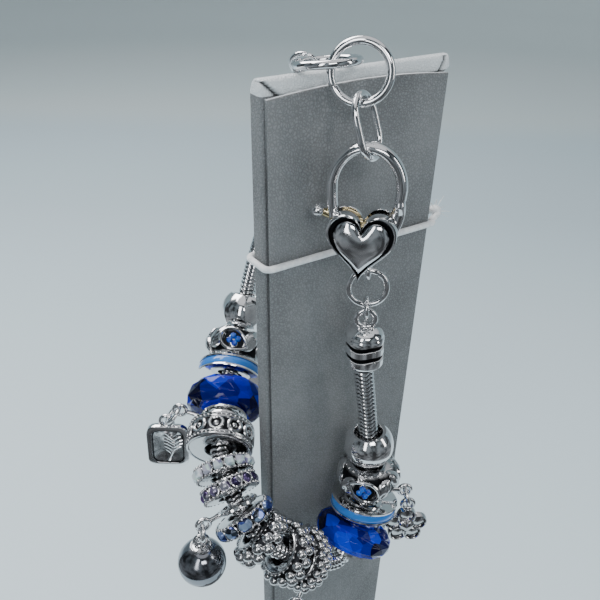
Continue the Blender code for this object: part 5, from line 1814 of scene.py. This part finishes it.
@dataclass
class Charm:
    """A hanging charm: eye at its origin, y up, z along its hole."""

    node: str
    hole: tuple[float, float, float]
    eye_radius: float = 0.95 * MM
    eye_wire: float = 0.33 * MM

    def home(self) -> Matrix:
        """Return the charm's frame, with its origin in the middle of its eye."""
        hole = Vector(self.hole).normalized()
        side = UP.cross(hole).normalized()
        points = node_points(self.node)
        high = points[points[:, 2].argmax()]
        top = axes(Vector(high.tolist()), side, hole)
        low, span = node_span(self.node, top)
        middle = Vector(((low.x + span.x) / 2, -(self.eye_radius + self.eye_wire), (low.z + span.z) / 2))
        return Matrix.Translation(top @ middle) @ top.to_3x3().to_4x4()

    def hang_eye(self, form: Form, home: Matrix) -> None:
        """Add the charm's eye to its form."""
        form.ring(self.eye_radius, self.eye_wire, home, None, 12, 36)


@dataclass
class FlowerCharm(Charm):
    """Cast flower of cupped petals about a small heart."""

    radius: float = 3.6 * MM
    half: float = 0.8 * MM
    petals: int = 5

    def build(self) -> None:
        """Build the petals, the heart and the eye."""
        home = self.home()
        drop = self.eye_radius + self.radius - 0.1 * MM
        form = Form()
        self.hang_eye(form, home)
        flat = home @ slide(0, -drop, 0)
        table = ((0.85, -0.8, 0.0), (1.0, -0.45, 0.0), (1.0, 0.3, 0.0), (0.92, 0.75, 0.0), (0.8, 0.85, 0.0),
                 (0.7, 0.55, 0.9), (0.6, 0.4, 0.3), (0.35, 0.5, 0.0), (0.08, 0.6, 0.0))
        rows = [[Vector((point.x * 0.95, point.y, rise * self.half))
                 for point in circle(self.radius * 0.46 * share, 32)] for share, rise, _ in table]
        for k in range(self.petals):
            turn = Matrix.Rotation(math.tau * k / self.petals, 4, "Z")
            form.shell(rows, [shade for _, _, shade in table],
                       matrix=flat @ turn @ slide(0, self.radius * 0.54, 0))
        outline = HeartClasp().outline(40)
        heart = [[Vector((x * 2.5 * MM * share, y * 2.4 * MM * share, rise * MM)) for x, y in outline]
                 for share, rise in ((1.0, -0.5), (1.0, 0.8), (0.85, 1.02), (0.5, 1.15), (0.1, 1.2))]
        form.shell(heart, [0.8, 0.0, 0.0, 0.0, 0.0], matrix=flat)
        form.piece("dressed_" + self.node, [AGED], [self.node])


@dataclass
class DropCharm(Charm):
    """Turned drop with a ringed neck."""

    radius: float = 2.6 * MM
    length: float = 6.5 * MM

    def build(self) -> None:
        """Build the drop and its eye."""
        home = self.home()
        form = Form()
        self.hang_eye(form, home)
        shares = [(0.1, 0.0), (0.24, 0.04), (0.3, 0.1), (0.36, 0.12), (0.36, 0.16), (0.3, 0.18), (0.34, 0.24),
                  (0.5, 0.34), (0.72, 0.46), (0.92, 0.6), (1.0, 0.72), (0.97, 0.82), (0.84, 0.91), (0.6, 0.97),
                  (0.3, 0.995), (0.05, 1.0)]
        profile = [(self.radius * wide, -self.length * down, 0.7 if down in (0.1, 0.18) else 0.0)
                   for wide, down in shares]
        seat = home @ slide(0, -(self.eye_radius - 0.1 * MM), 0) @ Matrix.Rotation(-math.pi / 2, 4, "X")
        form.lathe(profile, 40, seat, looped=False)
        form.piece("dressed_" + self.node, [SILVER], [self.node])


@dataclass
class BallCharm(Charm):
    """Polished hanging ball under a small leaf cap."""

    radius: float = 3.6 * MM

    def build(self) -> None:
        """Build the ball, its leaf cap and its eye."""
        home = self.home()
        form = Form()
        self.hang_eye(form, home)
        seat = home @ slide(0, -(self.eye_radius + self.radius - 0.1 * MM), 0)
        seat = seat @ Matrix.Rotation(-math.pi / 2, 4, "X")
        form.ball(seat, self.radius, 48, 1)
        cap = [(math.sin(tilt) * (self.radius + lift * MM), math.cos(tilt) * (self.radius + lift * MM))
               for tilt, lift in ((0.03, 0.2), (0.2, 0.2), (0.36, 0.18), (0.4, 0.02), (0.3, -0.15),
                                  (0.03, -0.15))]
        form.lathe(cap, 40, seat, looped=False)
        collar = seat @ slide(0, 0, self.radius * math.cos(0.44) + 0.08 * MM)
        form.ring(self.radius * math.sin(0.44), 0.17 * MM, collar, None, 10, 40)
        form.piece("dressed_" + self.node, [AGED, DARK_BALL], [self.node])


@dataclass
class PlateCharm(Charm):
    """Flat rounded plate with a raised border and a veined leaf."""

    width: float = 6.6 * MM
    height: float = 8.0 * MM
    half: float = 0.55 * MM

    def build(self) -> None:
        """Build the plate, its border, its leaf and its eye."""
        home = self.home()
        drop = self.eye_radius + self.height / 2 - 0.1 * MM
        flat = home @ slide(0, -drop, 0)
        form = Form()
        self.hang_eye(form, home)
        table = [(1.0, -0.55), (0.35, -1.0), (0.1, -1.0), (0.0, -0.7), (0.0, 0.7), (0.08, 0.95), (0.3, 1.0),
                 (0.75, 1.0), (0.85, 0.7), (1.1, 0.55)]
        rows = [rounded_loop(self.width / 2 - inset * MM, self.height / 2 - inset * MM,
                             1.6 * MM - inset * 0.6 * MM, rise * self.half, 8, 4) for inset, rise in table]
        form.shell(rows, [0.0] * 8 + [0.8, 0.5], matrix=flat)
        spine = [Vector((0.9 * MM * math.sin(i * 0.35), (-2.6 + 0.65 * i) * MM, self.half * 0.75))
                 for i in range(9)]
        form.wire(spine, [0.28 * MM * (1.15 - i / 9) for i in range(9)], 10, matrix=flat)
        for i in range(2, 8):
            for side in (1, -1):
                tip = spine[i] + Vector((side * 1.5 * MM * math.sin(math.pi * i / 9), 0.8 * MM, 0))
                form.wire([spine[i], spine[i].lerp(tip, 0.5) + Vector((0, 0.15 * MM, 0)), tip],
                          [0.2 * MM, 0.22 * MM, 0.1 * MM], 8, matrix=flat)
        form.piece("dressed_" + self.node, [SILVER], [self.node])


@dataclass
class Studio:
    """Pale table with its far edge, soft lights and the camera."""

    camera_place: tuple[float, float, float] = (-59.2, -70.95, 22.88)
    azimuth: float = 35.4
    pitch: float = 30.0
    roll: float = 1.72
    lens: float = 45.0
    sky: float = 0.85
    overhead: float = 3.0
    strip: float = 0.15

    def build(self) -> None:
        """Build the stage, the lights and the camera."""
        self.build_camera()
        self.build_table()
        self.build_lights()

    def build_camera(self) -> None:
        """Set the camera where the photograph was taken from."""
        a, p, r = (math.radians(value) for value in (self.azimuth, self.pitch, self.roll))
        forward = Vector((math.sin(a) * math.cos(p), math.cos(a) * math.cos(p), -math.sin(p)))
        right = Vector((math.cos(a), -math.sin(a), 0))
        up = right.cross(forward)
        x_axis = right * math.cos(r) + up * math.sin(r)
        y_axis = up * math.cos(r) - right * math.sin(r)
        turn = Matrix((x_axis, y_axis, -forward)).transposed().to_4x4()
        data = bpy.data.cameras.new("camera")
        data.lens = self.lens
        data.sensor_width = 36.0
        data.clip_start = 0.001
        camera = bpy.data.objects.new("camera", data)
        bpy.context.scene.collection.objects.link(camera)
        camera.matrix_world = Matrix.Translation(place(*self.camera_place)) @ turn
        bpy.context.scene.camera = camera

    def stage_piece(self, name: str, rows: list[list[Vector]], finish: Finish,
                    closed: bool) -> bpy.types.Object:
        """Add a stage surface.

        Args:
            name: Its name.
            rows: Its rows of points.
            finish: Its finish.
            closed: True if each row closes round, with the last one filled.

        Returns:
            The surface.
        """
        wide = len(rows[0])
        around = wide if closed else wide - 1
        faces = [(k * wide + i, k * wide + (i + 1) % wide, (k + 1) * wide + (i + 1) % wide,
                  (k + 1) * wide + i) for k in range(len(rows) - 1) for i in range(around)]
        if closed:
            faces.append(tuple(range(wide)))
        mesh = bpy.data.meshes.new(name)
        mesh.from_pydata([point for row in rows for point in row], [], faces)
        mesh.materials.append(finish.make())
        mesh.shade_smooth()
        stage = bpy.data.objects.new(name, mesh)
        bpy.context.scene.collection.objects.link(stage)
        return stage

    def build_table(self) -> None:
        """Pale table that sweeps up, and a dark screen that only reflections see."""
        sweep = [circle(reach, 96, high - 0.0002 * (high == 0)) for reach, high in (
            (0.02, 0.0), (0.3, 0.0), (0.8, 0.0), (0.9, 0.02), (0.97, 0.09), (1.0, 0.2), (1.0, 0.7))]
        self.stage_piece("table_sweep", sweep, PaleSweep("pale_sweep", (0.48, 0.585, 0.635), 0.6), True)
        middle = math.radians(270 - self.azimuth)
        rows = [[polar(reach, middle + math.radians(-110 + 10 * i), high) for i in range(23)]
                for reach, high in ((0.1, 0.001), (0.3, 0.001), (0.34, 0.03), (0.36, 0.2), (0.32, 0.34),
                                    (0.22, 0.44))]
        dark = Cloudy("dark_screen", (0.02, 0.021, 0.023), 0.9, other=(0.2, 0.21, 0.22), scale=7.0,
                      relief=0.0, band=(0.42, 0.62))
        screen = self.stage_piece("dark_screen", rows, dark, False)
        screen.visible_camera = False
        screen.visible_shadow = False
        screen.visible_diffuse = False
        screen.visible_transmission = False

    def build_lights(self) -> None:
        """Soft light from above and behind, two thin strips and a window in front, and a pale sky."""
        world = bpy.data.worlds.new("soft_room")
        world.use_nodes = True
        tree = world.node_tree
        back = tree.nodes["Background"]
        where = add_node(tree, "ShaderNodeTexCoord").outputs["Generated"]
        split = add_node(tree, "ShaderNodeSeparateXYZ", {0: where})
        sky = ramp(tree, split.outputs["Z"], [(0.0, (0.3, 0.32, 0.33)), (0.25, (0.3, 0.32, 0.33)),
                                              (0.7, (0.75, 0.77, 0.8)), (1.0, (0.9, 0.92, 0.95))])
        feed(back, {"Color": sky, "Strength": self.sky})
        bpy.context.scene.world = world
        for name, spot, size, power, colour in (
                ("overhead_softbox", (-0.08, 0.3, 0.5), (0.45, 0.3), self.overhead, (1.0, 1.0, 1.0)),
                ("left_strip", (-0.2, -0.13, 0.22), (0.05, 0.22), self.strip, (0.96, 0.98, 1.0)),
                ("front_window", (-0.09, -0.24, 0.3), (0.12, 0.07), self.strip * 1.3, (0.97, 0.98, 1.0)),
                ("right_strip", (0.17, -0.2, 0.2), (0.035, 0.2), self.strip * 0.8, (1.0, 0.99, 0.97))):
            data = bpy.data.lights.new(name, "AREA")
            data.shape = "RECTANGLE"
            data.size, data.size_y = size
            data.energy = power
            data.color = colour
            light = bpy.data.objects.new(name, data)
            bpy.context.scene.collection.objects.link(light)
            turn = (Vector((0.0, 0.0, 0.09)) - Vector(spot)).to_track_quat("-Z", "Y").to_matrix().to_4x4()
            light.matrix_world = Matrix.Translation(Vector(spot)) @ turn


def bracelet_beads() -> list[Bead]:
    """Return the beads in their order along the chain."""
    stones = (4.6 * MM, 2.2 * MM)
    return [
        BallBead("ball_bead_front", 3.75 * MM, 5.2 * MM),
        LeafBead("leaf_bead_front", 5.3 * MM, 4.6 * MM),
        EnamelBead("enamel_bead_front", 5.25 * MM, 2.2 * MM),
        GlassBead("glass_bead_front", 6.4 * MM, 6.0 * MM, core_node="glass_core_front"),
        GrainBead("granule_bead_1", 5.1 * MM, 3.1 * MM, grain=0.66 * MM, count=19),
        GrainBead("granule_bead_2", 5.1 * MM, 3.1 * MM, grain=0.8 * MM, rows=2, count=15),
        GrainBead("berry_bead", 4.8 * MM, 3.0 * MM, grain=0.95 * MM, rows=2, count=12),
        StoneBead("crystal_rondelle", *stones, cut=Stone.CRYSTAL, count=11, stone=1.0 * MM),
        StoneBead("cabochon_rondelle", *stones, cut=Stone.CABOCHON, count=14, stone=0.8 * MM),
        StoneBead("square_stone_rondelle", *stones, cut=Stone.SQUARE, count=15, stone=0.72 * MM),
        CircleBead("circle_bead", 5.2 * MM, 4.0 * MM),
        GlassBead("glass_bead_rear", 6.4 * MM, 6.0 * MM, core_node="glass_core_rear"),
        EnamelBead("enamel_bead_rear", 5.25 * MM, 2.2 * MM),
        LeafBead("leaf_bead_rear", 5.3 * MM, 4.6 * MM),
        BallBead("ball_bead_rear", 3.75 * MM, 5.2 * MM),
    ]


def bracelet_charms() -> list[Charm]:
    """Return the hanging charms."""
    return [
        FlowerCharm("flower_charm", (-0.5, -0.85, 0.0)),
        DropCharm("bottom_charm", (-0.6, -0.8, 0.0)),
        BallCharm("ball_charm", (-0.3, -1.0, 0.0)),
        PlateCharm("plate_charm", (-0.58, -0.81, 0.0)),
    ]


def main() -> None:
    """Build the stage, the stand and the bracelet in order."""
    logging.basicConfig(level=logging.INFO, format="%(name)s: %(message)s")
    Studio().build()
    Stand().build()
    HeartClasp().build()
    Links().build()
    front, rear = EndCap("end_cap_front").build(), EndCap("end_cap_rear").build()
    SnakeChain().build(front, rear)
    for bead in bracelet_beads():
        bead.build()
    for prefix in ("flower", "bottom", "ball_charm", "plate"):
        Bail(prefix + "_bail", prefix + "_ring").build()
    for charm in bracelet_charms():
        charm.build()


if __name__ == "__main__":
    main()
